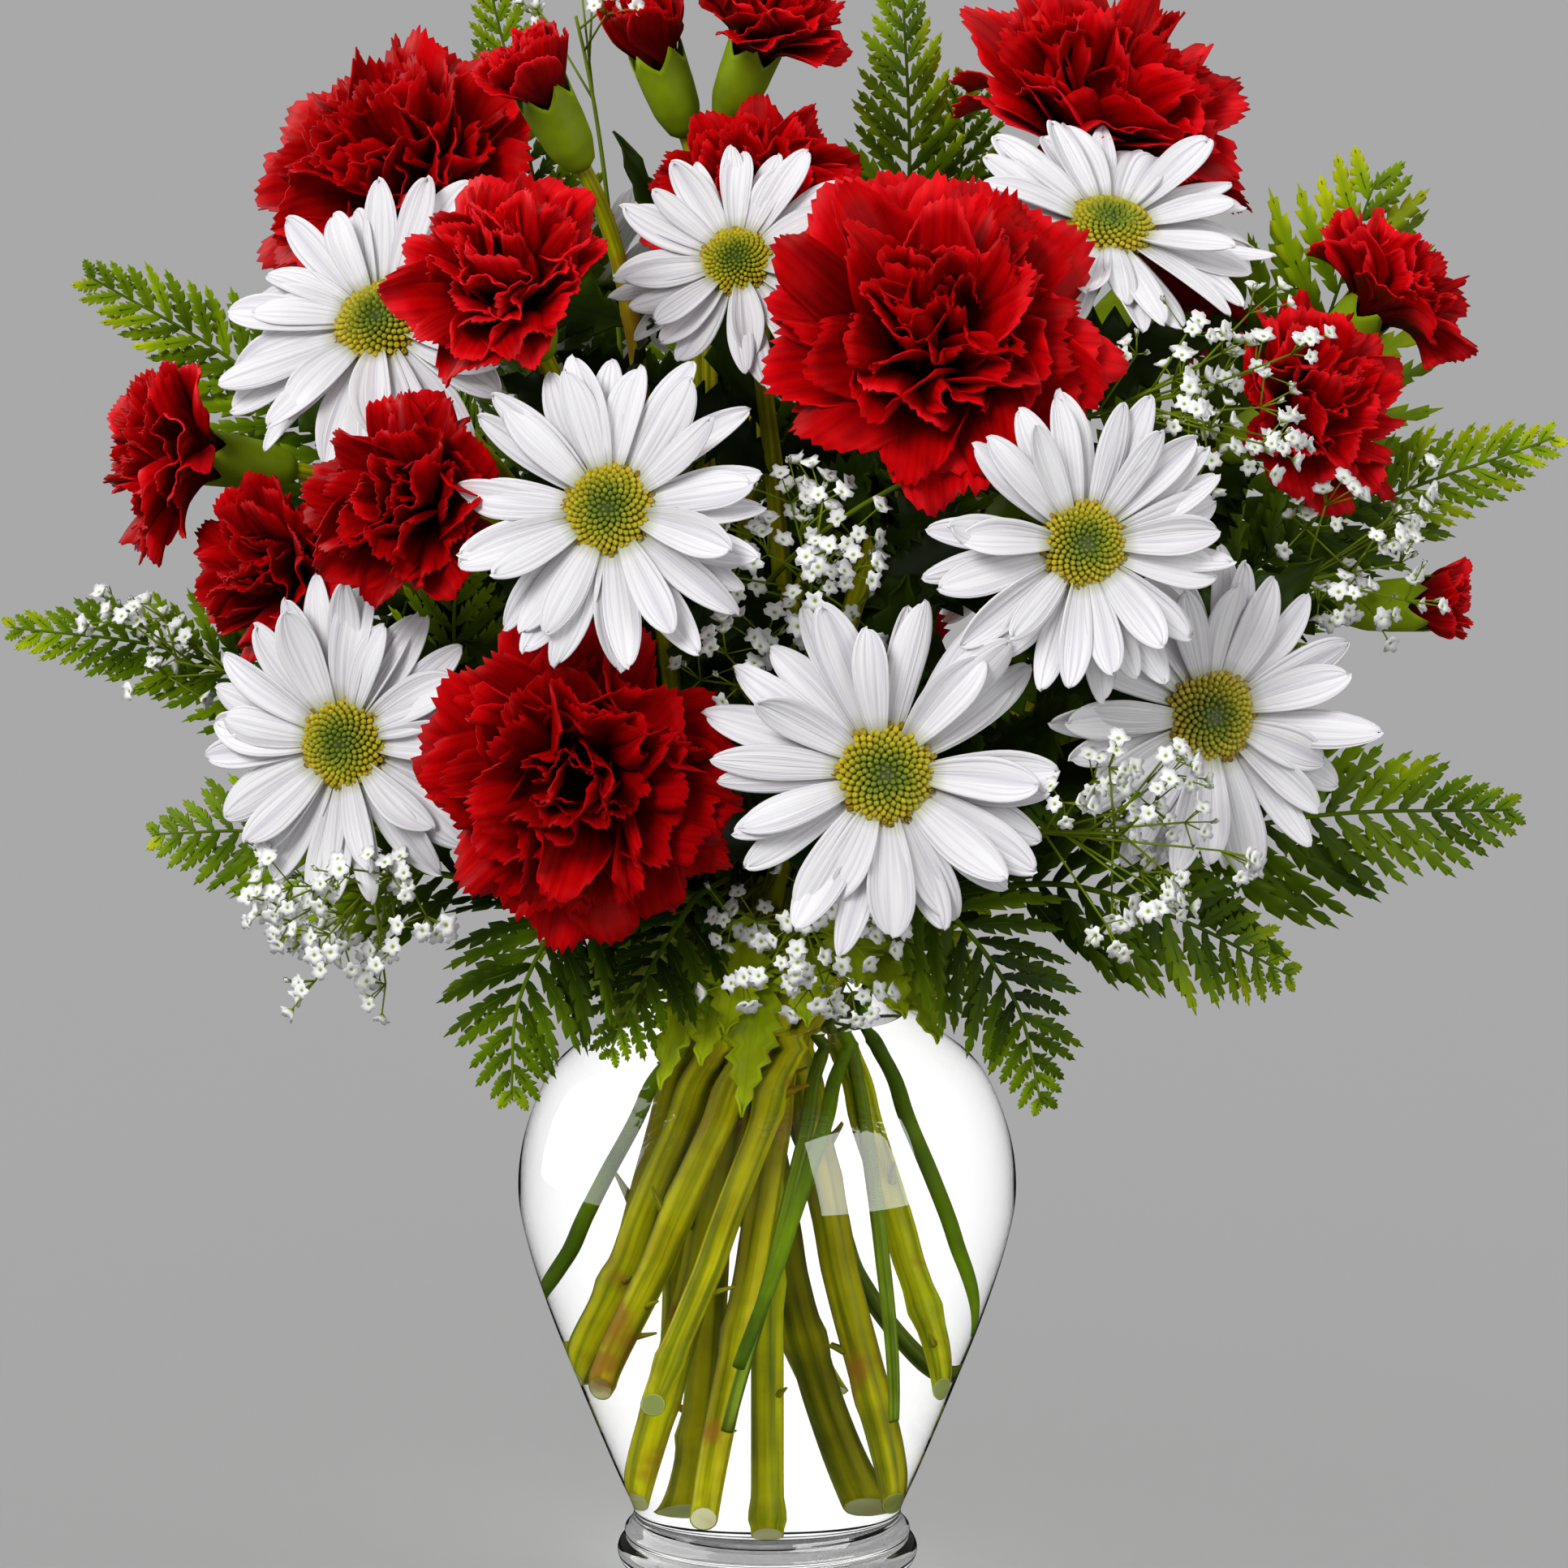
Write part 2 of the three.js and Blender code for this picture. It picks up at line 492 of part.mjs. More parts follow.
// A lobed leaf from the stem to its tip, narrowed and turned until it is clear of all that is placed.
function leafBlade(base, { tip, half, faces }, owner) {
  const span = vec(tip).sub(base);
  const way = span.clone().normalize();
  const level = way.clone().cross(vec(faces)).normalize();
  const last = LEAF_WIDTHS.length - 1;
  for (const share of LEAF_SHARES) {
    for (const turn of LEAF_TURNS) {
      const side = level.clone().applyAxisAngle(way, radians(turn));
      const face = side.clone().cross(way);
      const rows = LEAF_WIDTHS.map((width, k) => {
        const s = k / last;
        const centre = base.clone().addScaledVector(span, s + (k % 2 ? 0.05 : 0))
          .addScaledVector(face, LEAF_ARCH * span.length() * s * (1 - s));
        return [-1, 1].map((hand) => centre.clone().addScaledVector(side, hand * width * half * share));
      });
      const middles = rows.map(([a, b]) => along(a, b, 0.5));
      if ([...rows.flat(), ...middles].slice(2).some((p) => blocked(p, 1.5, owner))) continue;
      const sheet = rows.flat().map((point) => ({ point, face }));
      const triangles = LEAF_WIDTHS.slice(1).flatMap((width, k) => [
        [2 * k, 2 * k + 1, 2 * k + 3],
        [2 * k, 2 * k + 3, 2 * k + 2],
      ]);
      const left = LEAF_WIDTHS.map((width, k) => 2 * k);
      const right = LEAF_WIDTHS.map((width, k) => 2 * k + 1).reverse();
      const core = 0.5 * half * share;
      rows.slice(1).forEach(([a, b], k) => {
        addTubeRoom(owner, [a, b], [2, 2]);
        addTubeRoom(owner, [middles[k], middles[k + 1]], [core, core]);
      });
      return blade(sheet, triangles, [...left, ...right]);
    }
  }
  throw new Error(`${owner}: no clear place for its leaf to ${tip}`);
}

// A main stem through the vase to its first bloom, with a branch to each of the others.
function stemSolid(stem) {
  const radius = STEM_RADIUS[stem.kind];
  const neck = inVase(stem.neck, NECK_Z);
  const neckWay = neck.clone().sub(inVase(stem.neck, NECK_Z - 10)).normalize();
  const parts = [];
  const runs = [];
  let main = null;
  stem.blooms.forEach((name, i) => {
    const flower = bloomNamed(name);
    const frame = frameOf(flower);
    const out = new THREE.Vector3().setFromMatrixColumn(frame, 2);
    const head = headOf(flower).map(([down, r]) => [vec(flower.place).addScaledVector(out, -down), r]);
    const tip = head.at(-1)[0];
    const away = out.clone().negate();
    const branch = i > 0;
    const end = branch ? main.getPoint(1 - BRANCH_HEIGHTS[i - 1]) : neck;
    const endWay = branch ? main.getTangent(1 - BRANCH_HEIGHTS[i - 1]).negate() : neckWay;
    const thick = branch ? BRANCH_RADIUS : radius;
    const steps = branch ? 3 : 6;
    const run = clearRun(tip, away, end, endWay, steps, thick, stem.name);
    if (!branch) main = run;
    runs.push(run);
    const path = run.getPoints(steps).slice(1);
    const runRadii = path.map((p, k) => STEM_TIP + ((thick - STEM_TIP) * (k + 1)) / steps);
    const foot = branch ? [] : [footOf(stem.neck, radius, LOWEST_FOOT.leafy)];
    const points = [...head.map(([p]) => p), ...path, ...foot];
    const radii = [...head.map(([, r]) => r), ...runRadii, ...foot.map(() => radius)];
    parts.push(rod(points, radii, 5));
    addTubeRoom(stem.name, points, radii);
  });
  for (const leaf of stem.leaves ?? []) {
    parts.push(leafBlade(runs[leaf.branch].getPoint(leaf.at), leaf, stem.name));
  }
  return fused(parts);
}

// ---------- Ferns ----------
// neck: place there as [radius, angle]. faces: the way the upper side of the fronds looks. Each frond: the
// points its midrib passes, half its width and, where it looks another way than the rest, its own faces.
const FERNS = [
  { name: 'fern_left', neck: [25.6, 165], faces: [-0.2, -1, 0.35], fronds: [
    { through: [[-40, 6, 190], [-92, 14, 262], [-132, 14, 306], [-171, 10, 331]], half: 26 },
    { through: [[-50, 0, 180], [-100, 8, 212], [-148, 4, 236], [-191, 0, 243]], half: 20 },
    { through: [[-52, -8, 175], [-92, -26, 186], [-124, -24, 194], [-154, -12, 192]], half: 24 },
    { through: [[-26, 32, 210], [-44, 48, 290], [-56, 54, 350], [-72, 50, 406]], half: 24 },
    { through: [[-44, -14, 190], [-66, -46, 218], [-74, -60, 244], [-74, -66, 272]], half: 24 },
    {
      through: [[-48, 30, 190], [-82, 56, 200], [-104, 64, 212], [-120, 62, 226]],
      half: 24,
      faces: [-1, 0.2, 0.6],
    },
  ] },
  { name: 'fern_front', neck: [25.6, -120], faces: [0, -0.8, 0.6], fronds: [
    { through: [[-30, -34, 184], [-48, -58, 180], [-60, -72, 160], [-62, -72, 137]], half: 24 },
    { through: [[-14, -40, 182], [-22, -58, 176], [-32, -68, 160], [-38, -70, 147]], half: 17 },
    { through: [[22, -36, 184], [46, -56, 182], [62, -66, 160], [67, -66, 134]], half: 22 },
  ] },
  { name: 'fern_right', neck: [25.6, -15], faces: [0.2, -1, 0.35], fronds: [
    { through: [[44, -22, 178], [74, -44, 184], [102, -48, 176], [130, -36, 160]], half: 24 },
    { through: [[48, -4, 180], [92, -24, 190], [138, -34, 200], [184, -32, 201]], half: 28 },
    { through: [[48, 10, 190], [96, 14, 236], [146, 8, 270], [198, 0, 291]], half: 24 },
    { through: [[40, 18, 200], [92, 30, 252], [134, 26, 300], [154, 20, 354]], half: 42 },
    { through: [[24, 32, 210], [28, 34, 290], [36, 28, 350], [34, 20, 408]], half: 26 },
    {
      through: [[46, 14, 190], [84, 40, 206], [104, 58, 228], [112, 66, 256]],
      half: 26,
      faces: [1, 0.3, 0.4],
    },
  ] },
  { name: 'fern_back', neck: [25.6, 75], faces: [0, 1, 0.4], fronds: [
    { through: [[-26, 40, 200], [-60, 76, 240], [-84, 96, 276], [-104, 104, 316]], half: 26 },
    { through: [[20, 44, 190], [60, 80, 196], [96, 96, 204], [130, 96, 196]], half: 28 },
    { through: [[16, 40, 210], [36, 60, 270], [48, 66, 320], [52, 62, 378]], half: 28 },
    {
      through: [[0, 26, 206], [-10, 24, 260], [-18, 22, 310], [-22, 24, 352]],
      half: 24,
      faces: [0, -1, 0.4],
    },
  ] },
];
const PAIRS = 5;
const STALK_SHARE = 0.4;        // of a frond's length, below its first leaflets
const FERN_CROWN = 26;          // how far above the neck the topmost frond leaves the stalk,
const FERN_STEP = 0.22;         // and how much of that lies between one frond and the next
const FERN_BENDS = [0, 5, 10, 15, 20, 26, 32];
const BEND_SHARES = [1, 0.9, 0.4, 0];   // how much of a bend each point of a midrib takes
const MIDRIB = { at: [0, 0.13, 0.26, STALK_SHARE + 0.02], radii: [1.5, 1.4, 1.2, 1.0] };

// Half width of a frond along its blade, from 0 at the base to 1 at the tip, as a share of the widest.
const frondTaper = (s) => Math.min(1, 0.62 + 2.4 * s) * Math.pow(1 - s, 0.72);

// Where a frond's pairs of leaflets grow: the midrib's point, its way on, its side and its face.
function frondStations(curve, from, faces) {
  const stations = [];
  for (let k = 0; k <= PAIRS; k++) {
    const s = k / PAIRS;
    const p = curve.getPointAt(from + (1 - from) * s);
    const way = curve.getTangentAt(from + (1 - from) * s);
    const side = way.clone().cross(faces).normalize();
    stations.push({ s, p, way, side, face: side.clone().cross(way) });
  }
  return stations;
}

// Leaflets point forward, and hang a little to either side of the midrib.
const LEAFLET = { out: 0.85, on: 0.53, down: 0.16 };

// Leaflets cut to the midrib in one thin arched sheet, each with a shoulder on its lower side.
function frondBlade(stations, half, owner) {
  const rib = 0.8;
  const sheet = [];
  const faces = [];
  const add = (point, face) => sheet.push({ point, face }) - 1;
  const edges = [-1, 1].map((hand) => stations.map((at) => add(
    at.p.clone().addScaledVector(at.side, hand * rib * (1.2 - at.s)),
    at.face,
  )));
  const borders = [[], []];
  for (let k = 0; k < PAIRS; k++) {
    const [l0, l1, r0, r1] = [edges[0][k], edges[0][k + 1], edges[1][k], edges[1][k + 1]];
    faces.push([l0, r0, r1], [l0, r1, l1]);
    [-1, 1].forEach((hand, row) => {
      const at = stations[k];
      const length = half * frondTaper(at.s + 0.3 / PAIRS);
      const way = at.side.clone().multiplyScalar(hand * LEAFLET.out)
        .addScaledVector(at.way, LEAFLET.on)
        .addScaledVector(at.face, -LEAFLET.down);
      const across = at.way.clone().addScaledVector(at.side, -hand * 0.6).normalize();
      const root = along(at.p, stations[k + 1].p, 0.45);
      const width = 0.42 * at.p.distanceTo(stations[k + 1].p);
      const low = root.clone().addScaledVector(way, length * 0.5).addScaledVector(across, -width * 0.9);
      const tip = root.clone().addScaledVector(way, length);
      const base0 = edges[row][k];
      const base1 = edges[row][k + 1];
      const tested = [low, tip, along(root, tip, 0.3), along(root, tip, 0.75)];
      if (k === 0 || tested.some((p) => blocked(p, 1.1, owner))) {
        borders[row].push([base0]);
        return;
      }
      const [a, b] = [low, tip].map((point) => add(point, at.face));
      const made = [[base0, base1, a], [base1, b, a]];
      faces.push(...(hand < 0 ? made : made.map((face) => face.reverse())));
      borders[row].push([base0, a, b]);
    });
  }
  const left = [...borders[0].flat(), edges[0][PAIRS]];
  const right = [...borders[1].flat(), edges[1][PAIRS]].reverse();
  return blade(sheet, faces, [...left, ...right]);
}

// The flat space that a frond's leaflets take.
function addBladeRoom(owner, stations, half) {
  const step = stations[0].p.distanceTo(stations[1].p);
  rooms.push({ owner, blocks(p, reach) {
    return stations.slice(0, -1).some((at) => {
      const off = p.clone().sub(at.p);
      const length = half * frondTaper(at.s);
      const ahead = off.dot(at.way);
      const side = Math.abs(off.dot(at.side));
      if (ahead < -reach || ahead > step + LEAFLET.on * length + reach) return false;
      if (side > LEAFLET.out * length + reach) return false;
      return Math.abs(off.dot(at.face) + (LEAFLET.down / LEAFLET.out) * side) < 1.9 + reach;
    });
  } });
}

// A frond's midrib from the crown, its lower half bent aside until it is clear of all that is placed.
function clearMidrib(crown, through, owner) {
  const points = through.map(vec);
  for (const off of sideShifts(crown, points[1], FERN_BENDS)) {
    const moved = points.map((p, i) => p.clone().addScaledVector(off, BEND_SHARES[i]));
    const curve = new THREE.CatmullRomCurve3([crown, ...moved], false, 'centripetal');
    const tested = curve.getSpacedPoints(40).slice(1);
    if (!tested.some((p, i) => blocked(p, i < 18 ? 2 : 1.4, owner))) return curve;
  }
  throw new Error(`${owner}: no clear way to ${through.at(-1)}`);
}

function fernSolid(fern) {
  const radius = STEM_RADIUS.fern;
  const neck = inVase(fern.neck, NECK_Z);
  const way = neck.clone().sub(inVase(fern.neck, NECK_Z - 10)).normalize();
  const crown = neck.clone().addScaledVector(way, FERN_CROWN);
  const foot = footOf(fern.neck, radius, LOWEST_FOOT.fern);
  const parts = [rod([foot, neck, crown], [radius, radius, radius], 4)];
  fern.fronds.forEach(({ through, half, faces }, i) => {
    const owner = `${fern.name}:${i}`;
    const root = along(crown, neck, Math.min(i * FERN_STEP, 1));
    const curve = clearMidrib(root, through, fern.name);
    const stations = frondStations(curve, STALK_SHARE, vec(faces ?? fern.faces));
    const stalk = MIDRIB.at.map((t) => curve.getPointAt(t));
    parts.push(rod(stalk, MIDRIB.radii, 3), frondBlade(stations, half, owner));
    addTubeRoom(owner, stalk, MIDRIB.radii);
    addBladeRoom(owner, stations, half);
  });
  return fused(parts);
}

// ---------- Gypsophila ----------
const BOUQUET_MIDDLE_Z = 210;
// Each cloud: its centre, how far its florets spread, and how many there are.
const SPRAYS = [
  { name: 'gypsophila_left', neck: [18.3, 135], clouds: [
    { at: [-110, -72, 184], spread: 24, florets: 7 },
    { at: [-148, -14, 236], spread: 15, florets: 4 },
    { at: [-46, 12, 404], spread: 18, florets: 4 },
  ] },
  { name: 'gypsophila_front', neck: [18.3, -15], clouds: [
    { at: [10, -82, 178], spread: 20, florets: 4 },
    { at: [12, -92, 270], spread: 17, florets: 4 },
    { at: [84, -106, 206], spread: 20, florets: 5 },
  ] },
  { name: 'gypsophila_right', neck: [18.3, 45], clouds: [
    { at: [104, -74, 308], spread: 19, florets: 5 },
    { at: [144, -44, 262], spread: 18, florets: 4 },
    { at: [0, 98, 290], spread: 24, florets: 5 },
  ] },
];
const FLORET_RADIUS = 2.8;
const SPRAY_CROWN = 14;         // how far above the neck the topmost twig leaves the stalk,
const SPRAY_STEP = 0.3;         // and how much of that lies between one twig and the next

// A twig that ends in one small four-cornered flower.
function floret(root, head) {
  const way = head.clone().sub(root).normalize();
  const cup = head.clone().addScaledVector(way, -1.7);
  const face = head.clone().addScaledVector(way, 1);
  return rod([root, cup, head, face], [0.4, 0.45, FLORET_RADIUS, 0.6], 3);
}

function spraySolid(spray, seed) {
  const radius = STEM_RADIUS.gypsophila;
  const neck = inVase(spray.neck, NECK_Z);
  const way = neck.clone().sub(inVase(spray.neck, NECK_Z - 10)).normalize();
  const crown = neck.clone().addScaledVector(way, SPRAY_CROWN);
  const foot = footOf(spray.neck, radius, LOWEST_FOOT.gypsophila);
  const parts = [rod([foot, neck, crown], [radius, radius, 1.4], 4)];
  spray.clouds.forEach((cloud, c) => {
    const centre = vec(cloud.at);
    const outward = centre.clone().setZ(centre.z - BOUQUET_MIDDLE_Z).normalize();
    const end = along(crown, neck, c * SPRAY_STEP);
    const run = clearRun(centre, outward.clone().negate(), end, way, 5, 1.2, spray.name);
    const path = run.getPoints(5);
    const radii = path.map((p, k) => 0.9 + 0.1 * k);
    parts.push(rod(path, radii, 4));
    addTubeRoom(spray.name, path, radii);
    const placed = [];
    for (let k = 0; placed.length < cloud.florets && k < 600; k++) {
      const pick = (j) => 2 * chance(seed + 131 * c + 7 * k + j) - 1;
      const off = new THREE.Vector3(pick(1), pick(2), pick(3));
      if (off.length() > 1) continue;
      const head = centre.clone().addScaledVector(off, cloud.spread).addScaledVector(outward, 4);
      const root = along(path[k % 2], path[1 + (k % 2)], 0.1 + 0.7 * chance(seed + 77 * k + c));
      const line = [0.3, 0.6, 0.85, 1].map((t) => along(root, head, t));
      if (line.some((p, i) => blocked(p, i === 3 ? FLORET_RADIUS + 1.4 : 1.8, spray.name))) continue;
      if (placed.some((other) => other.distanceTo(head) < 2.5 * FLORET_RADIUS)) continue;
      placed.push(head);
      parts.push(floret(root, head));
    }
  });
  return fused(parts);
}

// ---------- Water ----------
const HOLE_ROOM = 0.9;          // by which a stem's hole in the water is wider than the stem, at its corners

// Fills the vase to its level, with a plain hole for each stem.
function waterSolid(stems) {
  const side = VASE_INSIDE.filter(([, z]) => z < WATER_Z).map(([r, z]) => [r - GAP, z]);
  const top = insideRadius(WATER_Z) - GAP;
  const bottom = [[0, FLOOR_Z + GAP], [FLOOR_FLAT - GAP, FLOOR_Z + GAP]];
  const profile = [...bottom, ...side, [top, WATER_Z], [0, WATER_Z]];
  const points = profile.map(([r, z]) => new THREE.Vector2(r, z));
  const body = solidOf(new THREE.LatheGeometry(points, VASE_SIDES).rotateX(Math.PI / 2));
  const holes = stems.map(({ neck, radius, foot }) => {
    const below = foot.clone().addScaledVector(foot.clone().sub(inVase(neck, NECK_Z)).normalize(), 2);
    return rod([below, inVase(neck, NECK_Z)], [radius + HOLE_ROOM, radius + HOLE_ROOM], 5);
  });
  return largest(body.subtract(wasm.Manifold.union(holes)));
}

// ---------- Materials and assembly ----------
function material(color, roughness, more = {}) {
  return new THREE.MeshStandardMaterial({ color, roughness, metalness: 0, ...more });
}
const MATERIALS = {
  glass: material(0xe8f0ee, 0.05, { transparent: true, opacity: 0.35 }),
  water: material(0xf2f7f2, 0.02, { transparent: true, opacity: 0.3 }),
  red: material(0xb00a10, 0.7),
  white: material(0xf4f2f4, 0.6),
  yellow: material(0xc2b21c, 0.8),
  stem: material(0x6f8f24, 0.6),
  fern: material(0x3f6a1c, 0.65),
  gypsophila: material(0xe9eddc, 0.7),
};

const bouquet = new THREE.Group();
bouquet.name = 'carnations_in_a_vase';

function add(name, made, finish) {
  const { numProp, vertProperties, triVerts, numVert } = made.getMesh();
  const positions = new Float32Array(numVert * 3);
  for (let i = 0; i < numVert; i++) {
    positions.set(vertProperties.subarray(i * numProp, i * numProp + 3), i * 3);
  }
  const geometry = new THREE.BufferGeometry();
  geometry.setAttribute('position', new THREE.BufferAttribute(positions, 3));
  geometry.setIndex(new THREE.BufferAttribute(new Uint32Array(triVerts), 1));
  geometry.computeVertexNormals();
  const mesh = new THREE.Mesh(geometry, MATERIALS[finish]);
  mesh.name = name;
  bouquet.add(mesh);
}

add('vase', vaseSolid(), 'glass');
DAISIES.forEach((flower, i) => {
  const frame = frameOf(flower);
  add(`${flower.name}_petals`, daisyPetals(flower.across, frame, 100 * i + 11), 'white');
  add(`${flower.name}_disc`, daisyDisc(flower.across, frame, 100 * i + 61), 'yellow');
  addBloomRoom(flower.name, frame, bloomProfile(flower));
});
CARNATIONS.forEach((flower, i) => {
  const frame = frameOf(flower);
  add(`${flower.name}_bloom`, carnationBloom(flower, frame, 200 * i + 23), 'red');
  addBloomRoom(flower.name, frame, bloomProfile(flower));
});
STEMS.forEach((stem) => add(stem.name, stemSolid(stem), 'stem'));
FERNS.forEach((fern) => add(fern.name, fernSolid(fern), 'fern'));
SPRAYS.forEach((spray, i) => add(spray.name, spraySolid(spray, 1000 + 500 * i), 'gypsophila'));
function standing(pieces, kindOf, lowest) {
  return pieces.map((piece) => {
    const radius = STEM_RADIUS[kindOf(piece)];
    return { neck: piece.neck, radius, foot: footOf(piece.neck, radius, lowest) };
  });
}
const inWater = [
  ...standing(STEMS, (stem) => stem.kind, LOWEST_FOOT.leafy),
  ...standing(FERNS, () => 'fern', LOWEST_FOOT.fern),
  ...standing(SPRAYS, () => 'gypsophila', LOWEST_FOOT.gypsophila),
];
add('water', waterSolid(inWater), 'water');

export default bouquet;
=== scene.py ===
import math

import bmesh
import bpy
import numpy as np
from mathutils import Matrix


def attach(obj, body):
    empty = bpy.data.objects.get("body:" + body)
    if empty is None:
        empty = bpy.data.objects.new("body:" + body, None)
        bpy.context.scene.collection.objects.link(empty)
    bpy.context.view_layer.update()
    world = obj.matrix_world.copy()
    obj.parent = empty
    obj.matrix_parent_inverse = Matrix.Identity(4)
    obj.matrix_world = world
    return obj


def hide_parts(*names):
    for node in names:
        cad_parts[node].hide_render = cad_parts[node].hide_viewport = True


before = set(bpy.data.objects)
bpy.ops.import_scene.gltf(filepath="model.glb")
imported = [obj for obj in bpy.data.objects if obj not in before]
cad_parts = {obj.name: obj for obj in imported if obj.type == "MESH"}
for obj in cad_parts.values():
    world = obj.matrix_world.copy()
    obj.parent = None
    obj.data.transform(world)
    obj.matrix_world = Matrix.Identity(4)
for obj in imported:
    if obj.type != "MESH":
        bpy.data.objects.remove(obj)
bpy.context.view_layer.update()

# ---------------------------------------------------------------------------
# The view. A camera a metre and a half in front of the bouquet and a little
# above its middle, turned down by eight degrees, with a long lens.
# ---------------------------------------------------------------------------
VIEW_TARGET = (0.0043, 0.0, 0.203)
VIEW_DISTANCE = 1.5
VIEW_LIFT = math.radians(8)
FRAME_WIDTH = 0.3976          # what the picture's width takes in at the target
SENSOR = 36.0

camera = bpy.data.objects.new("view_camera", bpy.data.cameras.new("view_camera"))
camera.location = (
    VIEW_TARGET[0],
    VIEW_TARGET[1] - VIEW_DISTANCE * math.cos(VIEW_LIFT),
    VIEW_TARGET[2] + VIEW_DISTANCE * math.sin(VIEW_LIFT),
)
camera.rotation_euler = (math.radians(90) - VIEW_LIFT, 0, 0)
camera.data.sensor_width = SENSOR
camera.data.lens = SENSOR * VIEW_DISTANCE / FRAME_WIDTH
camera.data.clip_end = 1200   # past the floor's far rim
bpy.context.scene.collection.objects.link(camera)
bpy.context.scene.camera = camera

# ---------------------------------------------------------------------------
# The studio. A pale floor that runs out to an even grey surround, wide soft
# lights on the bouquet alone, and white cards that only its gloss reflects.
# Seen through the glass, the surround and the floor glow a painted white.
# ---------------------------------------------------------------------------
BACKDROP = 0.395              # the even grey behind the bouquet
AMBIENT = 0.46                # light that comes from all round
IN_GLOSS = 0.09               # what gloss reflects of the surround, apart from the cards
INSIDE_GLASS = 0.01           # the painted near-black that surround and floor show to light that the glass has mirrored inside itself: dark streaks in the glass
WHITE_GLOW_THROUGH_GLASS = 1.30          # a painted white glow that surround and floor show only to rays through the vase's glass
EVEN_FLOOR = 0.6              # how much of the bouquet's shade on the floor a painted even grey glow takes away
FLOOR_RADIUS = 500.0
SUNS = [                      # name, the way it comes from, strength, angle across in degrees
    ("key", (-0.50, -0.80, 0.62), 2.5, 24),
    ("fill", (0.85, -0.75, 0.40), 0.6, 40),
    ("back", (0.25, 0.80, 0.90), 1.2, 30),
]
CARDS = [                     # name, centre, width, height, radiance
    ("left_card", (-1.00, 0.12, 0.58), 1.40, 1.40, 4.0),
    ("right_card", (0.74, -0.66, 0.42), 0.98, 0.72, 8.0),
]
CARDS_FACE = np.array([0, 0, 0.12])      # the vase's shoulder

bpy.context.scene.view_settings.view_transform = "Standard"


def by_ray(tree, rays, base):
    """Values that differ for some kinds of ray: each is the last one mixed with the next."""
    path = tree.nodes.new("ShaderNodeLightPath")
    for kind, value in rays:
        node = tree.nodes.new("ShaderNodeMix")
        for socket, entry in ((node.inputs[2], base), (node.inputs[3], value)):
            if isinstance(entry, float):
                socket.default_value = entry
            else:
                tree.links.new(entry, socket)
        tree.links.new(path.outputs[kind], node.inputs[0])
        base = node.outputs[0]
    return base


def swap_by_ray(tree, shader, other, rays):
    """Shows the other shader in place of the first, in the share that rays give for some kinds of ray."""
    mix = tree.nodes.new("ShaderNodeMixShader")
    tree.links.new(by_ray(tree, rays, 0.0), mix.inputs["Fac"])
    tree.links.new(shader.outputs[0], mix.inputs[1])
    tree.links.new(other.outputs[0], mix.inputs[2])
    tree.links.new(mix.outputs["Shader"], tree.nodes["Material Output"].inputs["Surface"])


world = bpy.data.worlds.new("surround")
bpy.context.scene.world = world
world.use_nodes = True
tree = world.node_tree
# The surround glows a painted white to rays through the glass, and a painted near-black to those that the
# glass mirrored inside itself.
# Half of the light that plants and floor get through the glass reaches them without its bends already.
through = by_ray(tree, [("Glossy Depth", INSIDE_GLASS), ("Diffuse Depth", AMBIENT / 2)], WHITE_GLOW_THROUGH_GLASS)
level = by_ray(tree, [
    ("Is Camera Ray", BACKDROP), ("Is Glossy Ray", IN_GLOSS), ("Is Transmission Ray", through),
], AMBIENT)
tree.links.new(level, tree.nodes["Background"].inputs["Color"])


def surface_material(name, roughness, **values):
    """A material with one Principled shader. values are its sockets, by name with _ for a space."""
    material = bpy.data.materials.new(name)
    material.use_nodes = True
    shader = material.node_tree.nodes["Principled BSDF"]
    shader.inputs["Roughness"].default_value = roughness
    for key, value in values.items():
        shader.inputs[key.replace("_", " ")].default_value = value
    return material, material.node_tree, shader


FLOOR_SHADE = BACKDROP / AMBIENT      # with it the floor is as bright as the surround, and has no far edge
floor_mesh = bpy.data.meshes.new("floor")
turns = np.linspace(0, 2 * np.pi, 64, endpoint=False)
rim = np.stack([FLOOR_RADIUS * np.cos(turns), FLOOR_RADIUS * np.sin(turns), np.zeros(64)], axis=1)
floor_mesh.from_pydata(rim, [], [list(range(64))])
floor = bpy.data.objects.new("floor", floor_mesh)
bpy.context.scene.collection.objects.link(floor)
paper, tree, shader = surface_material(
    "floor_paper", 1.0, Base_Color=(FLOOR_SHADE, FLOOR_SHADE, FLOOR_SHADE, 1), Specular_IOR_Level=0.0
)
paper.cycles.emission_sampling = "NONE"
# The floor partly glows: a painted even grey to the camera that hides the bouquet's shade on it, the painted
# white through the glass, and a painted near-black to light mirrored inside the glass.
white = tree.nodes.new("ShaderNodeEmission")
floor_glow_by_ray = by_ray(tree, [("Is Camera Ray", BACKDROP), ("Glossy Depth", INSIDE_GLASS)], WHITE_GLOW_THROUGH_GLASS)
tree.links.new(floor_glow_by_ray, white.inputs["Color"])
swap_by_ray(tree, shader, white, [
    ("Is Camera Ray", EVEN_FLOOR), ("Is Transmission Ray", 1.0), ("Is Glossy Ray", 1.0),
    ("Diffuse Depth", 0.0),
])
floor_mesh.materials.append(paper)

off_the_floor = bpy.data.collections.new("off_the_floor")
off_the_floor.objects.link(floor)
off_the_floor.collection_objects[0].light_linking.link_state = "EXCLUDE"


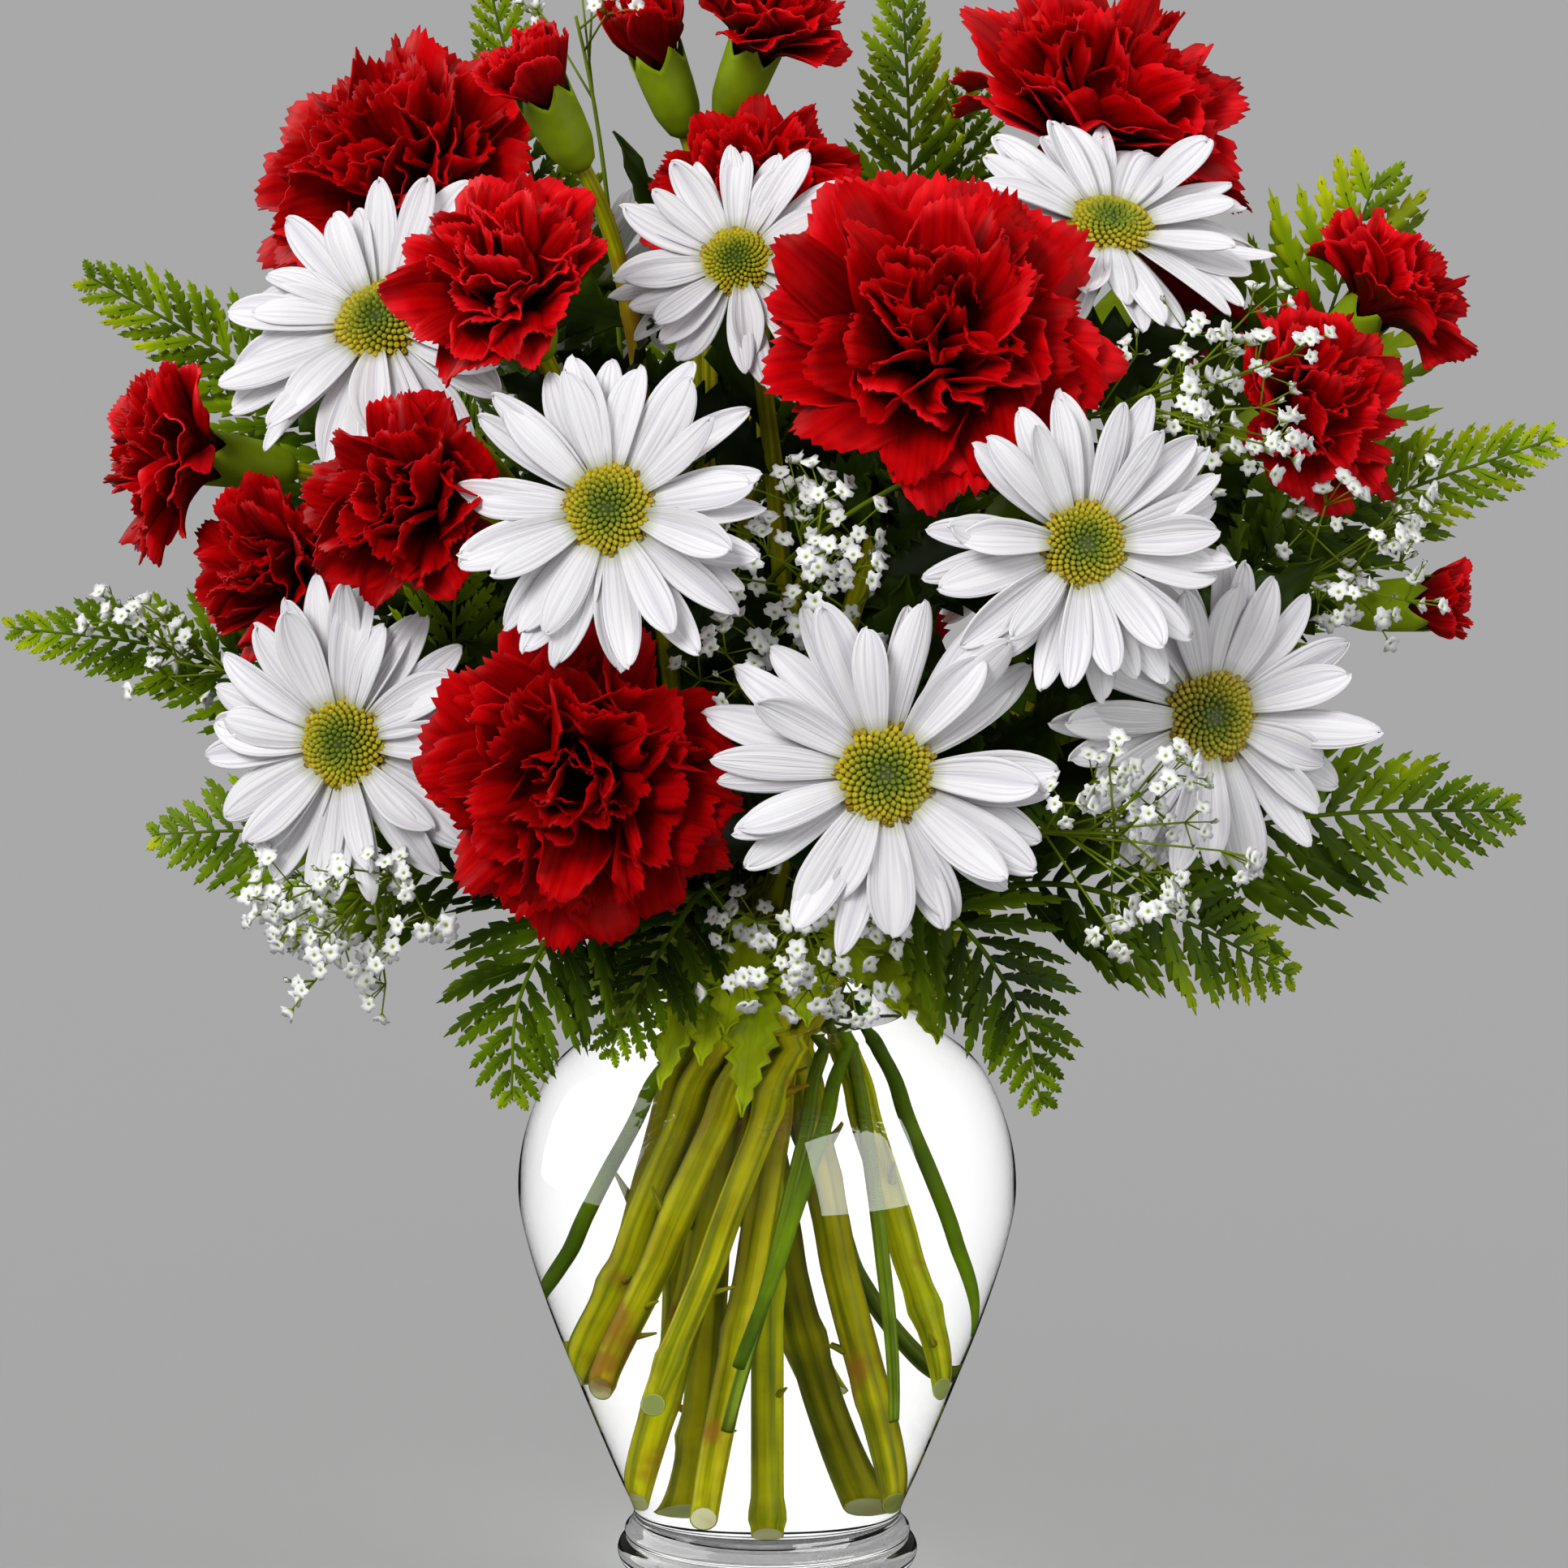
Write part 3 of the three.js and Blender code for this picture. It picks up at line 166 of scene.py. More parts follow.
def studio_light(name, kind, place, way):
    """A light that shines along way, on everything but the floor, and doesn't show through the glass."""
    lamp = bpy.data.lights.new(name, kind)
    light = bpy.data.objects.new(name, lamp)
    light.location = place
    tilt = math.atan2(math.hypot(way[0], way[1]), -way[2])
    light.rotation_euler = (tilt, 0, math.atan2(way[1], way[0]) - math.pi / 2)
    light.visible_transmission = False
    light.light_linking.receiver_collection = off_the_floor
    bpy.context.scene.collection.objects.link(light)
    return lamp, light


for name, comes_from, strength, across in SUNS:
    lamp, light = studio_light(name, "SUN", (0, 0, 0), -np.array(comes_from))
    lamp.energy = strength
    lamp.angle = math.radians(across)
    light.visible_glossy = False

for name, place, width, height, radiance in CARDS:
    lamp, light = studio_light(name, "AREA", place, CARDS_FACE - np.array(place))
    lamp.shape = "RECTANGLE"
    lamp.size = width
    lamp.size_y = height
    lamp.energy = radiance * math.pi * width * height
    light.visible_camera = False
    light.visible_diffuse = False

# ---------------------------------------------------------------------------
# The vase. Clear blown glass of ginger-jar form, 3 mm thick, with a heavy
# rounded foot in two rolls, a waist over it, a wide shoulder and a flared lip.
# ---------------------------------------------------------------------------
VASE_FLOOR = 0.009            # height of the inner floor
VASE_OUTSIDE = np.array([     # radius, height from the foot's flat underside to the lip
    (0.0, 0.0), (0.030, 0.0), (0.0366, 0.0006), (0.0386, 0.0036), (0.0381, 0.0062), (0.0364, 0.0078),
    (0.0368, 0.0096), (0.0352, 0.0116), (0.0346, 0.0132), (0.0348, 0.016), (0.0396, 0.027), (0.0478, 0.047),
    (0.0556, 0.067), (0.0616, 0.086), (0.0637, 0.100), (0.0614, 0.115), (0.0545, 0.130), (0.043, 0.1395),
    (0.0348, 0.1455), (0.033, 0.151), (0.036, 0.1585), (0.0432, 0.1632),
])
VASE_LIP = np.array([(0.0438, 0.1643), (0.0430, 0.1650), (0.0408, 0.1645)])
VASE_INSIDE = np.array([      # and back down the inner wall to the middle of its floor
    (0.0372, 0.1615), (0.033, 0.1585), (0.030, 0.151), (0.0318, 0.1455), (0.040, 0.1378),
    (0.0515, 0.1283), (0.0584, 0.1143), (0.0606, 0.100), (0.0586, 0.086), (0.0526, 0.0675),
    (0.0448, 0.0475), (0.0366, 0.0278), (0.0322, 0.0175), (0.0296, 0.0118), (0.024, 0.0093),
    (0.0, VASE_FLOOR),
])
VASE_SIDES = 160
MERGE = 1e-6                  # points of a mesh that are nearer than this become one


def smooth_line(points, steps):
    """Cubic Hermite through points with Catmull-Rom slopes: steps samples on each stretch, ends kept."""
    before = np.vstack([points[:1], points[:-1]])
    after = np.vstack([points[1:], points[-1:]])
    slope = (after - before) / 2
    t = np.linspace(0, 1, steps, endpoint=False)[None, :, None]
    a, b = points[:-1, None], points[1:, None]
    sa, sb = slope[:-1, None], slope[1:, None]
    line = (2 * t**3 - 3 * t**2 + 1) * a + (t**3 - 2 * t**2 + t) * sa
    line = line + (3 * t**2 - 2 * t**3) * b + (t**3 - t**2) * sb
    return np.vstack([line.reshape(-1, points.shape[1]), points[-1:]])


def round_axis(r, turn, z):
    """Points (r cos turn, r sin turn, z)."""
    return np.stack([r * np.cos(turn), r * np.sin(turn), z + 0 * turn], axis=-1)


def turned(profile, sides):
    """Surface of revolution: row by row of the profile, its radius and height at every turn."""
    return round_axis(profile[:, 0, None], np.linspace(0, 2 * np.pi, sides + 1), profile[:, 1, None])


def grid_faces(count, rows, columns):
    """Quads between neighbouring points of count grids of rows by columns points."""
    corner = np.arange(rows - 1)[:, None] * columns + np.arange(columns - 1)
    quads = np.stack([corner, corner + 1, corner + columns + 1, corner + columns], axis=-1).reshape(-1, 4)
    return (np.arange(count)[:, None, None] * rows * columns + quads).reshape(-1, 4)


def grids(points, uv=None, tone=None):
    """A mesh part of like grids, points[..., row, column, xyz], with a uv and a tone for each point."""
    rows, columns = points.shape[-3:-1]
    flat = points.reshape(-1, 3)
    count = len(flat) // (rows * columns)
    uv = np.zeros(2) if uv is None else uv
    tone = 0.0 if tone is None else tone
    return {
        "points": flat,
        "faces": grid_faces(count, rows, columns),
        "uv": np.broadcast_to(uv, points.shape[:-1] + (2,)).reshape(-1, 2),
        "tone": np.broadcast_to(tone, points.shape[:-1]).reshape(-1),
    }


def new_piece(name, parts, materials, node, wall=None):
    """Makes one object of mesh parts, hangs it under the root and hides its node's solid. Doubles are merged.
    The faces of closed parts are turned out; open sheets get a wall instead, half of it to either side."""
    starts = np.cumsum([0] + [len(part["points"]) for part in parts])
    points = np.vstack([part["points"] for part in parts])
    faces = np.vstack([part["faces"] + start for part, start in zip(parts, starts)])
    uv = np.vstack([part["uv"] for part in parts])
    tone = np.concatenate([part["tone"] for part in parts])
    which = np.repeat([part.get("material", 0) for part in parts], [len(part["faces"]) for part in parts])
    mesh = bpy.data.meshes.new(name)
    mesh.from_pydata(points, [], faces)
    mesh.attributes.new("tone", "FLOAT", "POINT").data.foreach_set("value", tone.astype(np.float32))
    mesh.uv_layers.new(name="along").data.foreach_set("uv", uv[faces.ravel()].astype(np.float32).ravel())
    mesh.polygons.foreach_set("material_index", which.astype(np.int32))
    mesh.polygons.foreach_set("use_smooth", np.ones(len(faces), bool))
    for material in materials:
        mesh.materials.append(material)
    work = bmesh.new()
    work.from_mesh(mesh)
    bmesh.ops.remove_doubles(work, verts=work.verts, dist=MERGE)
    if wall is None:
        bmesh.ops.recalc_face_normals(work, faces=work.faces)
    work.to_mesh(mesh)
    work.free()
    piece = bpy.data.objects.new(name, mesh)
    bpy.context.scene.collection.objects.link(piece)
    if wall:
        solidify = piece.modifiers.new("wall", "SOLIDIFY")
        solidify.thickness = wall
        solidify.offset = 0
    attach(piece, "root")
    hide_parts(node)


def clear_material(name, ior, tint):
    """A clear refracting body. Light that only casts shadows goes straight through it."""
    material, tree, shader = surface_material(
        name, 0.0, Base_Color=(1, 1, 1, 1), IOR=ior, Transmission_Weight=1.0
    )
    straight = tree.nodes.new("ShaderNodeBsdfTransparent")
    straight.inputs["Color"].default_value = tint
    swap_by_ray(tree, shader, straight, [("Is Shadow Ray", 1.0)])
    return material


glass = clear_material("clear_glass", 1.47, (0.93, 0.95, 0.94, 1))
vase_outline = np.vstack([
    VASE_OUTSIDE[:1],
    smooth_line(VASE_OUTSIDE[1:], 6),
    VASE_LIP,
    smooth_line(VASE_INSIDE[:-1], 6),
    VASE_INSIDE[-1:],
])
new_piece("vase_glass", [grids(turned(vase_outline, VASE_SIDES))], [glass], "vase")

# ---------------------------------------------------------------------------
# The water. It fills the vase up to its neck, wets the glass all round and
# climbs a little at its edge.
# ---------------------------------------------------------------------------
WATER_LEVEL = 0.143
WETTING = 0.0003              # how far the water's skin lies in the glass, so that no air shows between them
CLIMB = 0.0012                # and how far it climbs at its edge

water_wall = smooth_line(VASE_INSIDE[:-1], 6)[::-1]
water_wall = water_wall[water_wall[:, 1] < WATER_LEVEL - CLIMB] + (WETTING, 0)
edge = np.interp(WATER_LEVEL, VASE_INSIDE[::-1, 1], VASE_INSIDE[::-1, 0]) + WETTING
water_top = np.array([
    (edge, WATER_LEVEL + CLIMB),
    (edge - 0.0009, WATER_LEVEL + 0.4 * CLIMB),
    (edge - 0.0025, WATER_LEVEL),
    (0, WATER_LEVEL),
])
water_outline = np.vstack([[(0, VASE_FLOOR - WETTING)], water_wall, water_top])
water = clear_material("clear_water", 1.333, (0.97, 0.98, 0.96, 1))
new_piece("water_body", [grids(turned(water_outline, VASE_SIDES))], [water], "water")

# ---------------------------------------------------------------------------
# The daisies. Each has three rings of white petals, ridged along their length,
# round a domed disc of yellow florets that are green in the middle.
# ---------------------------------------------------------------------------
DAISIES = {                   # centre, [turn from the front, lift] in degrees, and the width over its petals
    "daisy_1": ((-0.093, -0.054, 0.323), (-20, 36), 0.080),
    "daisy_2": ((-0.007, -0.058, 0.338), (-8, 28), 0.061),
    "daisy_3": ((0.084, -0.036, 0.345), (14, 54), 0.076),
    "daisy_4": ((-0.036, -0.120, 0.284), (-10, 12), 0.074),
    "daisy_5": ((0.074, -0.112, 0.275), (14, 10), 0.072),
    "daisy_6": ((-0.101, -0.078, 0.224), (-20, 2), 0.076),
    "daisy_7": ((0.028, -0.118, 0.222), (4, 4), 0.082),
    "daisy_8": ((0.106, -0.082, 0.231), (18, 2), 0.079),
    "daisy_9": ((-0.048, 0.088, 0.318), (205, 30), 0.072),
    "daisy_10": ((0.066, 0.092, 0.262), (150, 12), 0.074),
}
# Each ring: its petals, how far their tips rise as a share of their length, the height of their feet, and
# their reach and width against plain ones.
PETAL_RINGS = [
    (14, 0.00, 0.0000, 1.06, 0.90),
    (12, 0.09, 0.0006, 1.03, 0.98),
    (7, 0.22, 0.0012, 0.90, 0.94),
]
PETAL_HALF = 0.061            # half the width of a petal, as a share of the daisy's
PETAL_FOOT = 0.09             # how far from the middle the petals start
PETAL_WALL = 0.0004
DISC_FLORETS = 210
DISC_RADIUS = 0.143           # these two as shares of the daisy's width
DISC_HEIGHT = 0.055
GOLDEN_ANGLE = np.pi * (3 - np.sqrt(5))


def bloom_axes(facing):
    """Rows are the bloom's right, up and outward directions."""
    turn, lift = np.radians(facing)
    out = np.array([np.sin(turn) * np.cos(lift), -np.cos(turn) * np.cos(lift), np.sin(lift)])
    right = np.array([np.cos(turn), np.sin(turn), 0])
    return np.array([right, np.cross(out, right), out])


def placed(points, place, facing):
    """Points from the bloom's own frame, +Z out of its face, into the bouquet."""
    return points @ bloom_axes(facing) + np.array(place)


def swung(out, side, turn, up):
    """Points that lie out along the ray at turn, side across it and up from it."""
    x = out * np.cos(turn) - side * np.sin(turn)
    y = out * np.sin(turn) + side * np.cos(turn)
    return np.stack([x, y, up + 0 * x], axis=-1)


def for_each(count, draw):
    """A function that draws a number between two bounds for each of count petals."""
    return lambda low, high: draw.uniform(low, high, count)[:, None, None]


def petal_map(u, v, count):
    """The uv map of petals: v along each, and u from 0 to 1 across it, 3 further on for each petal."""
    return np.stack(np.broadcast_arrays(u / 2 + 0.5 + 3 * np.arange(count)[:, None, None], v), axis=-1)


def daisy_ring(across, ring, draw):
    """Petals as points [petal, row, column, xyz]. Along a petal v goes from the disc to the tip, across it
    u goes from -1 to 1. Half width is w (0.32 + 0.68 sin(pi v^0.9 / 1.4)), closed by an elliptical tip with
    a shallow notch. Height is a rise with v, a droop with v cubed, edges raised with u squared, and ridges,
    cos(3 pi u)."""
    count, rise, height, reach, wide = ring
    v = (1 - (1 - np.linspace(0, 1, 15)) ** 1.5)[None, :, None]
    u = np.linspace(-1, 1, 9)[None, None, :]
    each = for_each(count, draw)
    inner = PETAL_FOOT * across
    length = across / 2 * reach * each(0.90, 1.03) - inner
    start = each(0.44, 0.68)
    close = np.sqrt(np.clip(1 - np.clip((v - start) / (1 - start), 0, 1) ** 2.1, 0, 1))
    belly = 0.32 + 0.68 * np.sin(np.pi * v**0.9 / 1.4)
    half = PETAL_HALF * wide * across * each(0.82, 1.18) * belly * close
    notch = each(0.0, 0.05) * (1 - np.cos(2 * np.pi * u)) / 2 + each(-0.03, 0.04) * u
    along = inner + length * v * (1 - np.clip(notch, 0, 1) * v**5)
    side = half * u + each(-0.10, 0.10) * length * v**2
    ridge = -0.0040 * across * np.cos(3 * np.pi * u) * np.sin(np.pi * np.clip(v * 0.95 + 0.05, 0, 1)) ** 0.6
    cup = each(-0.25, 0.60) * half * u**2
    twist = each(-0.45, 0.45) * v * half * u
    droop = each(-0.16, 0.30) * length * v**3
    lift = height + rise * length * v * each(0.5, 1.5) - droop + ridge * each(0.5, 1.2) + cup + twist
    turn = 2 * np.pi * (np.arange(count)[:, None, None] + each(-0.30, 0.30)) / count + draw.uniform(0, 6)
    points = swung(along, side, turn, lift)
    return points, petal_map(u, v, count), np.broadcast_to(v, points.shape[:-1])


def daisy_disc(across, draw):
    """Florets on a dome by the golden angle: floret k stands at radius R sqrt(k / n). Each is a six-sided
    bud; those of the outer rows are taller and open at the top. The bed under them is the dome itself."""
    radius = DISC_RADIUS * across
    height = DISC_HEIGHT * across
    k = np.arange(DISC_FLORETS) + 0.5
    share = np.sqrt(k / DISC_FLORETS)
    turn = k * GOLDEN_ANGLE
    dome = 0.0005 + height * (1 - share**2.6) * (1 - 0.35 * np.exp(-((share / 0.3) ** 2)))
    size = radius * np.sqrt(1 / DISC_FLORETS) * (0.80 + 0.22 * share)
    ring = np.linspace(0, 2 * np.pi, 7)
    opened = np.clip((share - 0.76) / 0.2, 0, 1)
    profile = np.array([(1.0, -1.2), (1.05, 0.2), (0.8, 0.95), (0.36, 1.25), (0.0, 1.3)])
    r = profile[None, :, None, 0] * size[:, None, None] * np.ones(7)
    z = profile[None, :, None, 1] * size[:, None, None] * (1 + 0.5 * opened)[:, None, None] * np.ones(7)
    z = z - (np.arange(5) >= 3)[None, :, None] * opened[:, None, None] * size[:, None, None] * 1.1
    lean = 0.9 * share[:, None, None]
    out = share[:, None, None] * radius + r * np.cos(ring) * np.cos(lean * 0.6) + z * np.sin(lean)
    up = dome[:, None, None] + z * np.cos(lean) - r * np.cos(ring) * np.sin(lean * 0.6)
    points = swung(out, r * np.sin(ring), turn[:, None, None], up)
    tone = np.clip(share + draw.uniform(-0.08, 0.08, DISC_FLORETS), 0, 1)[:, None, None] * np.ones((5, 7))
    rings = np.linspace(0, 1, 8)
    base = np.stack([radius * rings, 0.0002 + height * (0.85 - 0.75 * rings**2.6)], axis=-1)
    return points, tone, turned(np.vstack([base, [(0.0, 0.0002)]]), 36)


def ramp(tree, factor, stops):
    """A color ramp from (place, color) stops."""
    node = tree.nodes.new("ShaderNodeValToRGB")
    elements = node.color_ramp.elements
    while len(elements) < len(stops):
        elements.new(0.5)
    for element, (place, color) in zip(elements, stops):
        element.position = place
        element.color = (*color, 1)
    tree.links.new(factor, node.inputs["Fac"])
    return node.outputs["Color"]


def noise(tree, scale, detail=3.0, stretch=None):
    """Noise in object space or, with stretch, across and along the piece's own uv map."""
    place = tree.nodes.new("ShaderNodeTexCoord")
    vector = place.outputs["UV" if stretch else "Object"]
    if stretch:
        mapping = tree.nodes.new("ShaderNodeMapping")
        mapping.inputs["Scale"].default_value = stretch
        tree.links.new(vector, mapping.inputs["Vector"])
        vector = mapping.outputs["Vector"]
    node = tree.nodes.new("ShaderNodeTexNoise")
    node.inputs["Scale"].default_value = scale
    node.inputs["Detail"].default_value = detail
    tree.links.new(vector, node.inputs["Vector"])
    return node.outputs["Fac"]


def mixed(tree, mode, factor, first, second):
    """Two colours mixed; factor is a number or a socket, and so are the colours."""
    node = tree.nodes.new("ShaderNodeMix")
    node.data_type = "RGBA"
    node.blend_type = mode
    for socket, value in ((node.inputs[0], factor), (node.inputs[6], first), (node.inputs[7], second)):
        if isinstance(value, bpy.types.NodeSocket):
            tree.links.new(value, socket)
        else:
            socket.default_value = value if socket.type == "VALUE" else (*value, 1)
    return node.outputs[2]


def plant_material(name, roughness, gloss, stops, shades=(), bump=None, spots=None, **values):
    """A plant's skin. A noise is its (scale, detail, stretch). The colour is a ramp of the mesh's tone,
    multiplied by the ramp of each noise in shades, (share, noise, stops), and turned to another colour
    where the ramp of a noise is light, by spots, (noise, stops, colour). bump is (noise, strength, distance
    in metres)."""
    material, tree, shader = surface_material(name, roughness, Specular_IOR_Level=gloss, **values)
    tone = tree.nodes.new("ShaderNodeAttribute")
    tone.attribute_name = "tone"
    color = ramp(tree, tone.outputs["Fac"], stops)
    for share, grain, shade_stops in shades:
        color = mixed(tree, "MULTIPLY", share, color, ramp(tree, noise(tree, *grain), shade_stops))
    if spots:
        grain, spot_stops, spot_color = spots
        color = mixed(tree, "MIX", ramp(tree, noise(tree, *grain), spot_stops), color, spot_color)
    tree.links.new(color, shader.inputs["Base Color"])
    if bump:
        grain, strength, distance = bump
        node = tree.nodes.new("ShaderNodeBump")
        node.inputs["Strength"].default_value = strength
        node.inputs["Distance"].default_value = distance
        tree.links.new(noise(tree, *grain), node.inputs["Height"])
        tree.links.new(node.outputs["Normal"], shader.inputs["Normal"])
    return material


# A noise along the petals: as a bump it draws their veins and grooves, and in the colour its low parts are
# lavender grey, painted shade in the grooves.
VEINS_AND_GROOVE_SHADE = (1.0, 2.0, (11, 0.7, 1))
white_petal = plant_material(
    "white_petal", 0.6, 0.2,
    # At tone 0 to 0.08, the petals' feet by the disc, the white turns nearly black: painted shade where they
    # meet the disc.
    [(0.0, (0.05, 0.07, 0.01)), (0.08, (0.36, 0.38, 0.20)),
     (0.24, (0.70, 0.69, 0.70)), (1.0, (0.80, 0.79, 0.81))],
    # Painted shade in the grooves: lavender grey where the noise is low.
    shades=[(0.9, VEINS_AND_GROOVE_SHADE, [(0.30, (0.72, 0.70, 0.76)), (0.55, (1, 1, 1))])],
    bump=(VEINS_AND_GROOVE_SHADE, 0.7, 0.0006),
)
disc_floret = plant_material(
    "disc_floret", 0.6, 0.2,
    [(0.0, (0.10, 0.19, 0.008)), (0.35, (0.21, 0.27, 0.01)), (0.62, (0.42, 0.40, 0.012)),
     (0.88, (0.60, 0.46, 0.012)), (1.0, (0.36, 0.22, 0.01))],
    shades=[(1.0, (900,), [(0.3, (0.55, 0.55, 0.5)), (0.7, (1, 1, 1))])],
)
# The bed under the florets is nearly black: painted shade in the gaps between them.
disc_bed, tree, shader = surface_material("disc_bed", 0.8)
bed_color = ramp(tree, noise(tree, 700), [(0.2, (0.02, 0.025, 0.002)), (0.8, (0.07, 0.07, 0.008))])
tree.links.new(bed_color, shader.inputs["Base Color"])

for number, (name, (place, facing, across)) in enumerate(DAISIES.items()):
    draw = np.random.default_rng(100 + number)
    petals = []
    for ring in PETAL_RINGS:
        points, uv, tone = daisy_ring(across, ring, draw)
        petals.append(grids(placed(points, place, facing), uv, tone))
    new_piece(f"{name}_ray_petals", petals, [white_petal], f"{name}_petals", wall=PETAL_WALL)
    points, tone, bed = daisy_disc(across, draw)
    florets = grids(placed(points, place, facing), tone=tone)
    bed = grids(placed(bed, place, facing))
    bed["material"] = 1       # the second of the piece's materials
    new_piece(f"{name}_florets", [florets, bed], [disc_floret, disc_bed], f"{name}_disc")

# ---------------------------------------------------------------------------
# The carnations. Thin petals, 50 in a large bloom and 16 in a bud, come out of
# each green cup: the outer ones spread flat, the inner ones upright and folded.
# ---------------------------------------------------------------------------
CARNATIONS = {                # centre, [turn from the front, lift] in degrees, and the width over its petals
    "carnation_1": ((-0.094, 0.006, 0.361), (-35, 42), 0.072),
    "carnation_2": ((-0.057, -0.046, 0.384), (-54, 58), 0.028),
    "carnation_3": ((-0.062, -0.098, 0.338), (-18, 37), 0.050),
    "carnation_4": ((0.001, -0.008, 0.398), (49, 62), 0.042),
    "carnation_5": ((-0.030, 0.004, 0.393), (-56, 66), 0.030),
    "carnation_6": ((-0.003, -0.024, 0.353), (-4, 28), 0.049),
    "carnation_7": ((0.040, -0.084, 0.325), (4, 30), 0.080),
    "carnation_8": ((0.087, 0.021, 0.376), (35, 52), 0.076),
    "carnation_9": ((0.158, -0.005, 0.332), (70, 48), 0.044),
    "carnation_10": ((0.136, -0.038, 0.304), (45, 26), 0.052),
    "carnation_11": ((0.168, -0.025, 0.252), (72, 5), 0.022),
    "carnation_12": ((-0.150, -0.025, 0.290), (-74, 10), 0.050),
    "carnation_13": ((-0.085, -0.098, 0.285), (-24, 12), 0.050),
    "carnation_14": ((-0.123, -0.051, 0.264), (-48, 10), 0.045),
    "carnation_15": ((-0.044, -0.104, 0.218), (-6, -3), 0.072),
    "carnation_16": ((0.008, 0.100, 0.222), (176, 4), 0.070),
    "carnation_17": ((-0.104, 0.052, 0.262), (238, 14), 0.050),
    "carnation_18": ((0.104, 0.048, 0.330), (126, 34), 0.048),
}
STANDARD_WIDTH = 0.06         # wider blooms are the single large ones
BUD_WIDTH = 0.032             # narrower ones are half open
CUP_DEPTH = 0.27              # from the bloom's centre back to its green cup, as a share of its width
CUP_SINK = 0.003              # how deep in the cup the petals start
# Petals, the angle of the outermost from the axis, and from the middle outwards: length and half width as
# shares of the bloom, and how far the petals are folded across, in radians.
LARGE_PETALS = (50, 104, (0.57, 0.585), (0.15, 0.205), (1.35, 0.46))
SMALL_PETALS = (34, 98, (0.57, 0.57), (0.16, 0.22), (1.35, 0.65))
BUD_PETALS = (16, 44, (0.66, 0.70), (0.16, 0.25), (1.2, 0.60))
LIGHT_AND_SHADE_SHIFTS = {               # how much lighter or darker than the rest some blooms are painted, for the light and shade that fall on them
    "carnation_1": -0.04, "carnation_2": 0.10, "carnation_3": 0.12, "carnation_4": 0.06, "carnation_7": 0.03,
    "carnation_8": 0.08, "carnation_9": 0.08, "carnation_10": 0.08, "carnation_11": 0.08,
    "carnation_13": -0.04, "carnation_14": -0.06, "carnation_15": -0.11,
}
CARNATION_WALL = 0.00035
TEETH = 11
CUP_RADIUS = {True: 0.0072, False: 0.0066}      # for large blooms and for the rest


